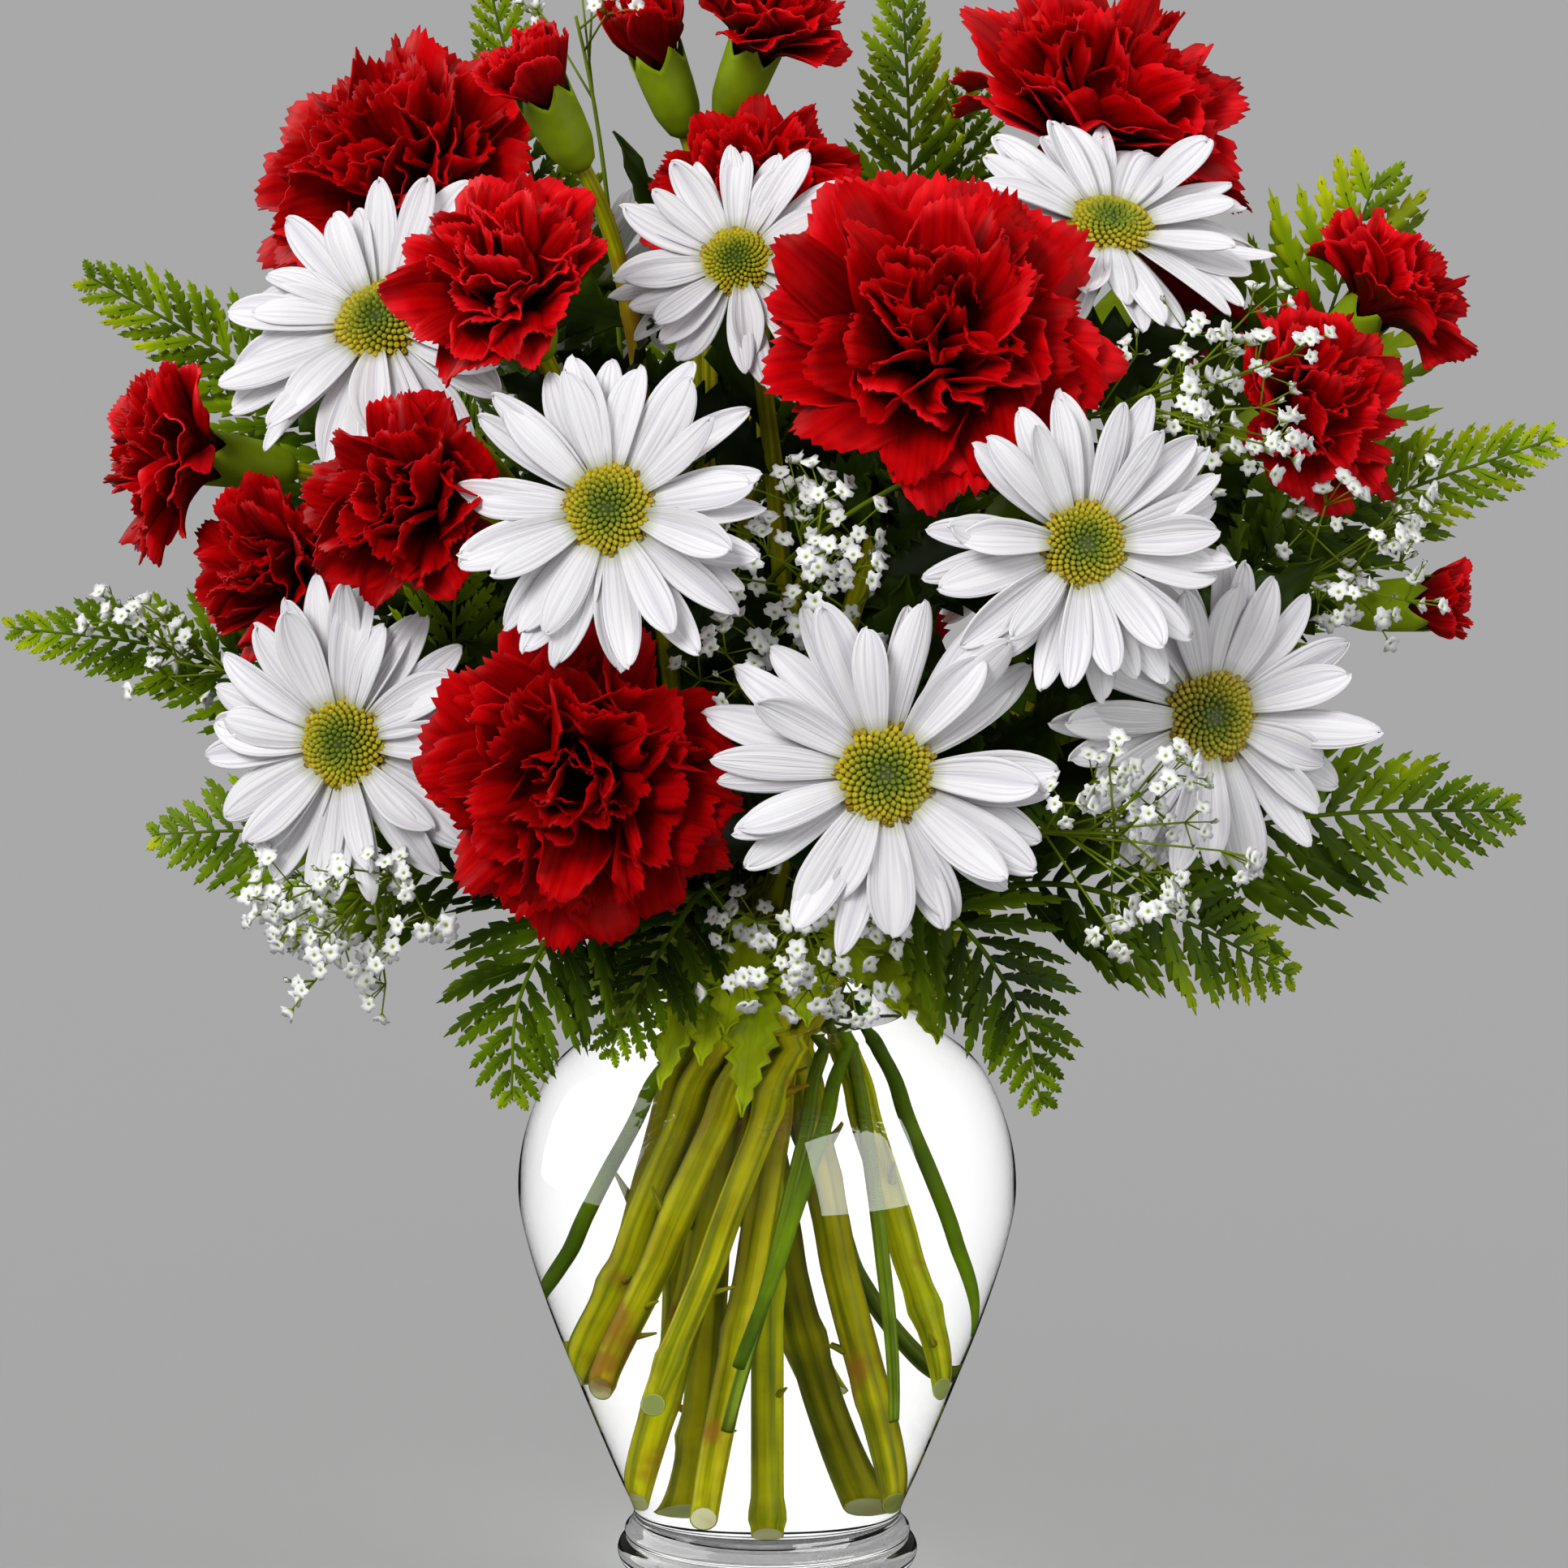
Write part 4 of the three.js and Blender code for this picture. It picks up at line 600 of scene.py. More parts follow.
def carnation_petals(across, kind, draw):
    """Petals as points [petal, row, column, xyz], set round the axis by the golden angle. Petal k leans out
    to the angle a = a_max (k / n)^0.68. It leaves the cup along the axis and bends out: its slope at v is a
    v^0.5, summed along v. It widens as a fan, and across it its direction turns by sines of u that grow
    with v, summed along u, so that it keeps its width however it is folded."""
    count, widest, lengths, halves, folds = kind
    rows, columns = 11, 2 * TEETH + 3
    v = np.linspace(0, 1, rows)[None, :, None]
    u = np.linspace(-1, 1, columns)[None, None, :]
    each = for_each(count, draw)
    share = ((np.arange(count) + 0.5) / count)[:, None, None]
    from_middle = lambda pair: pair[0] + (pair[1] - pair[0]) * share
    tip = np.radians(np.clip(widest * share**0.68 + each(-14, 14), 2, widest))
    fold = from_middle(folds)
    fine = 41
    s = np.linspace(0, 1, fine)[None, :]
    slope = tip[:, :, 0] * s**0.5
    reach = np.cumsum(np.sin(slope), axis=1) / (fine - 1)
    climb = np.cumsum(np.cos(slope), axis=1) / (fine - 1)
    tooth = 0.019 * np.where(np.arange(columns) % 2, 1, -1)
    jag = tooth[None, None, :] * each(0.5, 1.3) + 0.020 * draw.uniform(-1, 1, (count, 1, columns))
    wave = 0.07 * np.sin(each(2, 4) * u + each(0, 6))
    along = np.clip(v * (1 - 0.20 * np.abs(u) ** 2.2) + wave * v**3 + jag * v**7, 0, 1.08) * each(0.90, 1.03)
    position = np.clip(along / 1.12, 0, 1) * (fine - 1)
    low = np.clip(position.astype(int), 0, fine - 2)
    part = position - low
    table_at = lambda table, at: np.take_along_axis(table[:, None, :] + 0 * position[:, :, :1], at, axis=2)
    pick = lambda table: table_at(table, low) * (1 - part) + table_at(table, low + 1) * part
    size = from_middle(lengths) * across * 1.12
    mouth = 0.78 * CUP_RADIUS[across > STANDARD_WIDTH] * share**0.5
    out, up = mouth + size * pick(reach), size * pick(climb)
    lean = tip * np.clip(along, 0, 1) ** 0.5
    widen = np.clip((v - 0.06) / 0.70, 0, 1)
    width = from_middle(halves) * across * each(0.80, 1.20) * (0.13 + 0.87 * widen**2 * (3 - 2 * widen))
    phase = lambda: each(0, 2 * np.pi)
    bend = fold * each(0.6, 1.25) * v**1.1 * (
        np.sin(each(1.8, 3.2) * u + phase())
        + 0.70 * np.sin(each(5.0, 8.0) * u + phase() + 1.5 * v)
        + (0.26 + 0.22 / (1 + fold)) * np.sin(each(13, 18) * u + phase()) * v**2
    )
    middle = columns // 2
    flat = np.cumsum(np.cos(bend), axis=2) * 2 / (columns - 1)
    raised = np.cumsum(np.sin(bend), axis=2) * 2 / (columns - 1)
    flat = width * (flat - flat[..., middle:middle + 1])
    raised = width * (raised - raised[..., middle:middle + 1])
    roll = each(-0.9, 0.9) * v * np.clip(fold, 0, 1)
    side = flat * np.cos(roll) - raised * np.sin(roll)
    off = flat * np.sin(roll) + raised * np.cos(roll)
    off = off - 0.20 * u**2 * width * v * np.cos(lean)
    out = out + off * np.cos(lean)
    up = up - off * np.sin(lean)
    around = GOLDEN_ANGLE * np.arange(count)[:, None, None] + each(-0.3, 0.3) + draw.uniform(0, 6)
    points = swung(out, side, around, up - CUP_DEPTH * across - CUP_SINK)
    # The tone rises along each petal and is a little lower on the inner ones: painted shade deep in the bloom
    # and a painted bright rim at the petals' edges. Its random part is each petal's own.
    tone = np.clip(v * (1 - 0.10 * (1 - share)) + each(-0.16, 0.08) * v, 0, 1)
    return points, petal_map(u, v, count), np.broadcast_to(tone, points.shape[:-1])


PETAL_STREAKS = (1.0, 3.0, (14, 1.0, 1))
red_petal = plant_material(
    "red_petal", 0.55, 0.12,
    # From nearly black at tone 0 to bright red at 1: painted shade at the petals' feet, painted highlight at
    # their edges.
    [(0.0, (0.02, 0.0, 0.0)), (0.42, (0.14, 0.0, 0.001)), (0.76, (0.42, 0.0005, 0.0015)),
     (0.92, (0.60, 0.001, 0.003)), (1.0, (0.84, 0.008, 0.014))],
    shades=[
        (0.7, PETAL_STREAKS, [(0.3, (0.45, 0.4, 0.4)), (0.6, (1, 1, 1))]),
        (0.6, (120, 2.0), [(0.3, (0.5, 0.5, 0.5)), (0.6, (1, 1, 1))]),
    ],
    bump=(PETAL_STREAKS, 0.6, 0.0006),
    Specular_Tint=(1.0, 0.1, 0.1, 1),
)

for number, (name, (place, facing, across)) in enumerate(CARNATIONS.items()):
    draw = np.random.default_rng(300 + number)
    kind = LARGE_PETALS if across > STANDARD_WIDTH else BUD_PETALS if across < BUD_WIDTH else SMALL_PETALS
    points, uv, tone = carnation_petals(across, kind, draw)
    # Painted light and shade: some blooms lighter, some darker, as the light falls on them.
    tone = np.clip(tone + LIGHT_AND_SHADE_SHIFTS.get(name, 0) * tone, 0, 1)
    petals = grids(placed(points, place, facing), uv, tone)
    new_piece(f"{name}_petals", [petals], [red_petal], f"{name}_bloom", wall=CARNATION_WALL)

# ---------------------------------------------------------------------------
# The leafy stems. Green stems with swollen joints stand in the water, lean on
# the glass and branch above the neck; each ends in the green cup of a bloom.
# ---------------------------------------------------------------------------
NECK_HEIGHT = 0.150
SPREAD = 3.1                  # how much further out the stems would be at the floor than in the neck
TWIST = math.radians(-95)     # and how far round
# Each kind of stem: its radius in the vase and at a bloom, the gap between its joints, how much they swell,
# and the small leaves on a branch: the shares of its run where they grow, and the longest.
STEM_KINDS = {
    "daisy": (0.0035, 0.0018, 0.048, 0.10, np.linspace(0.34, 0.90, 8), 0.050),
    "standard": (0.0034, 0.0021, 0.062, 0.22, np.linspace(0.30, 0.90, 7), 0.048),
    "spray": (0.0031, 0.0021, 0.062, 0.22, np.linspace(0.30, 0.90, 7), 0.048),
}
BRANCH_RADIUS = 0.0020
BRANCH_HEIGHTS = (0.42, 0.30)            # how far up the main stem's run each branch leaves it
JOINT_LENGTH = 0.0035         # how far a swollen joint reaches to either side
STEM_ROWS = 44                # rows of a stem's path above the neck
VASE_ROWS = 40                # and below it
STUB_ROWS = (52, 80)          # the rows between which the stripped leaves' stumps stand
STUBS = 3
CUP_LENGTH = {True: 0.026, False: 0.0205}       # for large carnations and for the rest
CUP_TO_STEM = {True: 0.031, False: 0.023}       # how far below the cup's mouth the stem's bends start
BRACT_DEPTH = 0.014           # how far a daisy's cup of bracts reaches back
STEM_IN_CUP = 0.006           # how far the stems reach up into the cups
# Each stem: its kind, its place in the neck as [radius, angle], and its blooms, the first on the main stem.
STEMS = {
    "daisy_stem_a": ("daisy", (0.0183, -165), ("daisy_4", "daisy_6", "daisy_1")),
    "daisy_stem_b": ("daisy", (0.0093, -90), ("daisy_2", "daisy_3")),
    "daisy_stem_c": ("daisy", (0.0183, -75), ("daisy_7", "daisy_5", "daisy_8")),
    "daisy_stem_d": ("daisy", (0.0093, 90), ("daisy_9", "daisy_10")),
    "carnation_stem_a": ("standard", (0.0093, 150), ("carnation_1",)),
    "carnation_stem_b": ("standard", (0.0183, -105), ("carnation_7",)),
    "carnation_stem_c": ("standard", (0.0093, -30), ("carnation_8",)),
    "carnation_stem_d": ("standard", (0.0183, -135), ("carnation_15",)),
    "carnation_spray_a": ("spray", (0.0093, -150), ("carnation_3", "carnation_2")),
    "carnation_spray_b": ("spray", (0.0, 0), ("carnation_4", "carnation_5", "carnation_6")),
    "carnation_spray_c": ("spray", (0.0183, -45), ("carnation_9", "carnation_10", "carnation_11")),
    "carnation_spray_d": ("spray", (0.0183, 165), ("carnation_12", "carnation_14", "carnation_13")),
    "carnation_spray_e": ("spray", (0.0183, 75), ("carnation_16", "carnation_17", "carnation_18")),
}
# Each leaf: the branch that it grows from, how far down it, its tip, its half width and the way it faces.
LEAVES = {
    "daisy_stem_a": [
        (2, 0.30, (-0.130, 0.006, 0.304), 0.015, (0, -1, 0.5)),
        (0, 0.35, (-0.066, -0.062, 0.262), 0.014, (0, -1, 0.3)),
    ],
    "daisy_stem_b": [
        (0, 0.30, (-0.038, -0.012, 0.368), 0.012, (0, -1, 0.3)),
        (1, 0.35, (0.112, -0.026, 0.318), 0.016, (0.2, -1, 0.3)),
        (0, 0.60, (-0.014, -0.056, 0.266), 0.013, (0, -1, 0.3)),
    ],
    "daisy_stem_c": [
        (1, 0.30, (0.100, -0.050, 0.300), 0.017, (0, -1, 0.4)),
        (2, 0.30, (0.136, -0.052, 0.266), 0.015, (0.2, -1, 0.3)),
        (0, 0.35, (0.034, -0.070, 0.264), 0.014, (0, -1, 0.3)),
        (1, 0.62, (0.040, -0.048, 0.264), 0.013, (0, -1, 0.2)),
    ],
    "daisy_stem_d": [
        (0, 0.30, (0.012, 0.098, 0.330), 0.016, (0, 1, 0.4)),
        (1, 0.35, (0.030, 0.086, 0.302), 0.014, (0, 1, 0.4)),
        (0, 0.50, (-0.062, 0.084, 0.240), 0.014, (0, 1, 0.4)),
    ],
}
# Each leaf over the lip: the share of the main run where it starts, its foot, its tip and its half width.
NECK_LEAVES = {
    "daisy_stem_b": [
        (0.86, (0.000, -0.050, 0.173), (-0.006, -0.066, 0.130), 0.009),
        (0.84, (-0.010, -0.048, 0.174), (-0.016, -0.062, 0.142), 0.010),
        (0.82, (-0.020, -0.044, 0.174), (-0.038, -0.056, 0.148), 0.011),
        (0.80, (-0.004, -0.049, 0.178), (-0.010, -0.063, 0.150), 0.011),
        (0.78, (-0.024, -0.040, 0.179), (-0.034, -0.054, 0.156), 0.012),
        (0.80, (-0.031, -0.036, 0.173), (-0.050, -0.047, 0.151), 0.011),
        (0.84, (-0.015, -0.047, 0.171), (-0.026, -0.062, 0.136), 0.008),
    ],
    "daisy_stem_c": [
        (0.86, (0.008, -0.049, 0.176), (0.010, -0.064, 0.152), 0.010),
        (0.84, (0.020, -0.045, 0.176), (0.034, -0.058, 0.153), 0.011),
        (0.82, (0.036, -0.032, 0.178), (0.050, -0.040, 0.158), 0.011),
        (0.80, (0.030, -0.040, 0.172), (0.042, -0.054, 0.146), 0.010),
        (0.80, (0.018, -0.048, 0.182), (0.022, -0.064, 0.162), 0.012),
    ],
    "daisy_stem_a": [
        (0.86, (-0.046, 0.002, 0.176), (-0.058, 0.008, 0.156), 0.010),
        (0.82, (-0.040, 0.024, 0.180), (-0.052, 0.034, 0.162), 0.011),
        (0.80, (-0.040, -0.022, 0.180), (-0.054, -0.030, 0.164), 0.012),
    ],
    "daisy_stem_d": [
        (0.86, (0.004, 0.048, 0.176), (0.008, 0.062, 0.152), 0.011),
        (0.84, (-0.018, 0.045, 0.177), (-0.030, 0.058, 0.156), 0.011),
        (0.82, (0.024, 0.042, 0.178), (0.038, 0.054, 0.160), 0.012),
        (0.80, (0.043, 0.014, 0.180), (0.058, 0.018, 0.162), 0.011),
    ],
}
STEM_SIDES = 14


def in_vase(neck, height):
    """Where a stem that passes the neck at [radius, angle] is at a height: all turn and spread alike."""
    radius, angle = neck[0], math.radians(neck[1])
    t = (NECK_HEIGHT - np.asarray(height, float)) / (NECK_HEIGHT - VASE_FLOOR)
    x = (1 - t) * math.cos(angle) + t * SPREAD * math.cos(angle + TWIST)
    y = (1 - t) * math.sin(angle) + t * SPREAD * math.sin(angle + TWIST)
    return np.stack([radius * x, radius * y, np.asarray(height, float)], axis=-1)


def at_neck(neck):
    """Where a stem passes the neck, and the way it goes up there."""
    point = in_vase(neck, NECK_HEIGHT)
    return point, unit(point - in_vase(neck, NECK_HEIGHT - 0.01))


def cut_end(neck, radius, lowest):
    """The lowest height at which the stem is still clear of the inner wall."""
    heights = np.linspace(NECK_HEIGHT - 0.03, lowest, 200)
    points = in_vase(neck, heights)
    wall = np.interp(heights, VASE_INSIDE[::-1, 1], VASE_INSIDE[::-1, 0])
    free = np.hypot(points[:, 0], points[:, 1]) + radius + 0.001 < wall
    return heights[-1] if free.all() else heights[max(np.argmin(free) - 1, 0)]


def unit(vector):
    """Vectors of length 1."""
    return vector / np.linalg.norm(vector, axis=-1, keepdims=True)


def reach_along(path):
    """How far along a path each of its points lies."""
    return np.concatenate([[0], np.cumsum(np.linalg.norm(np.diff(path, axis=0), axis=1))])


def bezier(control, t):
    """Cubic Bezier through control[..., 4, xyz] at each t."""
    t = np.asarray(t)[:, None]
    a, b, c, d = (control[..., None, k, :] for k in range(4))
    return (1 - t) ** 3 * a + 3 * (1 - t) ** 2 * t * b + 3 * (1 - t) * t**2 * c + t**3 * d


def solid_points(node):
    """The corners of a node's solid, each once."""
    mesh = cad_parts[node].data
    points = np.zeros(3 * len(mesh.vertices), np.float32)
    mesh.vertices.foreach_get("co", points)
    return np.unique(points.reshape(-1, 3).round(6), axis=0)


def offsets(chord, bends, turns):
    """Sideways shifts of every size in bends and in every direction round the chord."""
    sideways = unit(np.array([chord[1], -chord[0], 0]))
    upward = np.cross(sideways, chord)
    angle = np.linspace(0, 2 * np.pi, turns, endpoint=False)
    ring = np.cos(angle)[:, None] * sideways + np.sin(angle)[:, None] * upward
    return (np.array(bends)[:, None, None] * ring).reshape(-1, 3)


RUN_BENDS = (0, 0.006, 0.012, 0.018, 0.024, 0.030, 0.038, 0.048, 0.060)      # those tried for a stem
BEND_TURNS = 12


def run_in_solid(start, start_way, end, end_way, steps, solid):
    """The Bezier from start to end, bent aside as the solid of this stem is: the bend whose points at steps
    even shares lie nearest the solid's corners."""
    length = np.linalg.norm(end - start)
    off = offsets(unit(end - start), RUN_BENDS, BEND_TURNS)
    control = np.stack(np.broadcast_arrays(
        start, start + start_way * length * 0.3 + off, end + end_way * length * 0.3 + off, end
    ), axis=-2)
    corners = bezier(control, np.arange(1, steps) / steps)
    apart = np.linalg.norm(corners[:, :, None] - solid, axis=-1)
    nearest = np.sort(apart, axis=-1)[..., :3].mean(axis=-1)
    return control[np.argmin(nearest.sum(axis=1))]


def tube(path, radii, sides=STEM_SIDES, tone=0.5, cut=None):
    """A round tube: the point at (row, turn) is path + radius (cos turn side + sin turn other), its ends
    closed to a point. side is square to the path and to the direction that the path takes least. cut is the
    tone of the face at its far end, which then slants at 45 degrees: the last three rows are drawn back
    along the path by a third, two thirds and the whole of radius (1 - y of the ring). That face lies on one
    point of the uv map."""
    way = unit(np.gradient(path, axis=0))
    least = np.linalg.svd(way)[2][-1]
    side = unit(np.cross(way, least))
    other = np.cross(way, side)
    turn = np.linspace(0, 2 * np.pi, sides + 1)[:, None]
    ring = np.cos(turn) * side[:, None] + np.sin(turn) * other[:, None]
    wall = path[:, None] + np.asarray(radii)[:, None, None] * ring
    tone = np.broadcast_to(tone, len(path))
    face = []
    if cut is not None:
        wall[-3:] -= np.arange(1, 4)[:, None, None] / 3 * radii[-1] * (1 - ring[-3:, :, 1:2]) * way[-3:, None]
        middle = wall[-1, :-1].mean(axis=0)
        face = [(middle + 0.88 * (wall[-1] - middle))[None]]
    ends = [np.repeat(wall[k, :-1].mean(axis=0)[None, None], sides + 1, axis=1) for k in (0, -1)]
    points = np.concatenate([ends[0], wall, *face, ends[1]])
    reach = reach_along(path)
    v = np.concatenate([reach[:1], reach, [reach[-1]] * (1 + len(face))])[:, None] * 10
    uv = np.stack(np.broadcast_arrays(np.linspace(0, 1, sides + 1), v), axis=-1)
    uv[len(points) - 2 * len(face):] = (0.5, 30 * reach[-1])
    tone = np.concatenate([tone[:1], tone, tone[-1:] if cut is None else [cut, cut]])
    return grids(points, uv, tone[:, None] + np.zeros(sides + 1))


def green_cup(across):
    """A carnation's calyx: a smooth barrel with five pointed teeth round its mouth, as [row, turn, xyz], +Z
    to the bloom. The mouth's height is a wave of five points."""
    length = CUP_LENGTH[across > STANDARD_WIDTH]
    radius = CUP_RADIUS[across > STANDARD_WIDTH]
    turn = np.linspace(0, 2 * np.pi, 41)
    share = np.linspace(0, 1, 14)[:, None]
    point = (np.abs((turn * 5 / (2 * np.pi)) % 1 - 0.5) * 2) ** 1.3
    rise = np.clip((share - 0.72) / 0.28, 0, 1) * point * 0.26 * length
    belly = np.interp(share[:, 0], [0, 0.08, 0.35, 0.7, 1.0], [0.34, 0.62, 0.90, 1.0, 1.04])[:, None]
    spread = 1 + 0.06 * np.clip((share - 0.8) / 0.2, 0, 1) * point
    r = radius * belly * spread
    z = -length + share * length * 0.95 + rise
    outer = round_axis(r, turn, z)
    inner = round_axis(r - 0.0005, turn, z - 0.0004)[::-1][:6]
    foot = np.zeros((1, 41, 3)) + (0, 0, -length)
    plug = np.zeros((1, 41, 3)) + (0, 0, inner[-1, 0, 2])
    points = np.concatenate([foot, outer, inner, plug])
    points[..., 2] -= CUP_DEPTH * across + 0.0002 + 0.02 * length
    tone = np.concatenate([[0], share[:, 0], share[::-1, 0][:6], [0.4]])[:, None] + np.zeros(41)
    return points, 0.56 + 0.20 * tone


def bract_cup(across):
    """A daisy's green involucre: a shallow cup of short bracts under the petals, its rim a wave of 22."""
    turn = np.linspace(0, 2 * np.pi, 45)
    rows = np.array([
        (0.0019, -BRACT_DEPTH), (0.0023, -0.0080), (0.052 * across, -0.0052), (0.085 * across, -0.0028),
        (0.110 * across, -0.0008), (0.100 * across, -0.0005), (0.0, -0.0006),
    ])
    scale = 1 + 0.07 * np.abs(np.sin(turn * 11)) * np.array([0, 0, 0.5, 0.8, 1, 1, 0])[:, None]
    foot = np.zeros((1, 45, 3)) + (0, 0, -BRACT_DEPTH)
    points = np.concatenate([foot, round_axis(rows[:, 0, None] * scale, turn, rows[:, 1, None])])
    return points, 0.45 + np.zeros((8, 45))


LEAF_WIDTHS = np.array([      # from the foot to the tip: each lobe and each gap between lobes
    0.08, 0.20, 0.55, 0.36, 0.82, 0.50, 0.96, 0.60, 1.0, 0.62, 0.90, 0.50, 0.72, 0.40, 0.50, 0.24,
    0.28, 0.10, 0.02,
])
SOLID_WIDTHS = np.array([0.12, 0.7, 0.45, 1, 0.6, 0.75, 0.08])      # the same leaf in the solids
LEAF_SHARES = (1, 0.8, 0.6, 0.45)        # the widths and turns that a leaf can have there
LEAF_TURNS = np.radians([0, 30, -30, 60, -60])


def leaf_axes(base, tip, faces, turn):
    """A leaf's side and face, turned about the way that it goes."""
    way = unit(tip - base)
    level = unit(np.cross(way, np.array(faces, float)))
    side = level * np.cos(turn) + np.cross(way, level) * np.sin(turn)
    return side, np.cross(side, way)


def leaf_in_solid(base, tip, half, faces, solid):
    """The share of its width and the turn that a leaf has in the solids: those with the nearest corners."""
    s = np.linspace(0, 1, 7)[:, None]
    best = None
    for share in LEAF_SHARES:
        for turn in LEAF_TURNS:
            side, face = leaf_axes(base, tip, faces, turn)
            arch = 0.12 * np.linalg.norm(tip - base) * s * (1 - s)
            middle = base + (s + 0.05 * (np.arange(7) % 2)[:, None]) * (tip - base) + arch * face
            reach = SOLID_WIDTHS[:, None] * half * share * side
            corners = np.concatenate([(middle - reach)[1:], (middle + reach)[1:]])
            apart = np.linalg.norm(corners[:, None] - solid, axis=-1).min(axis=1).sum()
            if best is None or apart < best[0]:
                best = (apart, share, turn)
    return best[1:]


def lobed_leaf(base, tip, half, faces, turn=0.0, tone=0.12, rows=37):
    """A chrysanthemum leaf: rows from its foot to its tip, half width w(s) with lobes, arched along its
    length by s (1 - s), raised to either side of the midrib and waved at the edge."""
    span = tip - base
    side, face = leaf_axes(base, tip, faces, turn)
    s = np.linspace(0, 1, rows)[:, None]
    u = np.linspace(-1, 1, 9)[None, :]
    lobe = np.interp(s[:, 0], np.linspace(0, 1, len(LEAF_WIDTHS)), LEAF_WIDTHS)[:, None]
    length = np.linalg.norm(span)
    forward = s + 0.13 * u**2 * lobe * (1 - s)
    arch = 0.12 * length * s * (1 - s) + 0.18 * half * np.abs(u) * lobe
    arch = arch + 0.0012 * np.sin(9 * s * np.pi) * u**2
    spread = u * lobe * half * 0.9
    points = base + forward[..., None] * span + spread[..., None] * side + arch[..., None] * face
    uv = np.stack(np.broadcast_arrays(u / 2 + 0.5, s), axis=-1)
    return grids(points, uv, tone + 0.12 * np.abs(u) + 0 * s)


def small_leaves(control, shares, longest, draw):
    """Short leaves along a branch, at the given shares of its run, out to the side in turn."""
    leaves = []
    for k, base in enumerate(bezier(control, shares)):
        ahead = unit(control[0] - control[3])
        outward = unit(base * (1, 1, 0) + 1e-6)
        swing = np.cross(ahead, outward) * (1 if k % 2 else -1)
        way = unit(swing + draw.uniform(0.0, 0.6) * outward + draw.uniform(0.2, 0.9) * ahead)
        length = longest * draw.uniform(0.7, 1.0)
        # Low, dark tones: painted shade on the leaves inside the bouquet.
        tone = draw.uniform(0.0, 0.16)
        faces = outward + (0, 0, 0.5)
        leaves.append(lobed_leaf(base, base + way * length, 0.27 * length, faces, tone=tone, rows=19))
    return leaves


def stubs(path, radii, places, draw):
    """Short pointed stumps of leaves that were stripped off, one at each of the given rows of a path."""
    made = []
    for row in places:
        way = unit(path[row - 1] - path[row + 1])
        out = unit(np.cross(way, draw.normal(0, 1, 3)))
        start = path[row] + 0.8 * radii[row] * out
        line = start + np.linspace(0, 1, 5)[:, None] * (0.0036 * out + 0.0030 * way) * draw.uniform(0.6, 1.3)
        line = line + 1e-6 * np.arange(5)[:, None] ** 2
        made.append(tube(line, np.linspace(0.0010, 0.0003, 5), 7, tone=0.4))
    return made


FIBRES = (1.0, 3.0, (9, 1.2, 1))
BROWN_SPOTS = ((42, 4.0), [(0.58, (0, 0, 0)), (0.66, (0.8, 0.8, 0.8))], (0.24, 0.10, 0.008))


def stem_material(name, stops, streaks=1.0, spots=None):
    """Green skin: its colour goes by tone, streaked along its length and mottled."""
    return plant_material(name, 0.5, 0.05, stops, shades=[
        (streaks, FIBRES, [(0.36, (0.34, 0.42, 0.2)), (0.58, (1, 1, 1))]),
        (0.8, (70, 3.0), [(0.36, (0.60, 0.55, 0.36)), (0.6, (1, 1, 1))]),
    ], bump=(FIBRES, 0.4 * streaks, 0.0003), spots=spots)


green_skin = stem_material("green_skin", [
    (0.3, (0.040, 0.070, 0.001)), (0.5, (0.50, 0.45, 0.002)), (0.66, (0.41, 0.46, 0.002)),
    (1.0, (0.95, 0.90, 0.55)),
], spots=BROWN_SPOTS)
cup_green = stem_material("cup_green", [(0.45, (0.20, 0.27, 0.004)), (0.80, (0.30, 0.42, 0.008))])
# Low tones, nearly black, are painted shade for the leaves deep in the bouquet; high ones are painted light
# for the leaves over the lip.
leaf_green = stem_material("leaf_green", [
    (0.0, (0.007, 0.016, 0.001)), (0.3, (0.034, 0.064, 0.001)), (0.6, (0.16, 0.24, 0.003)),
    (1.0, (0.46, 0.58, 0.008)),
], streaks=0.35)

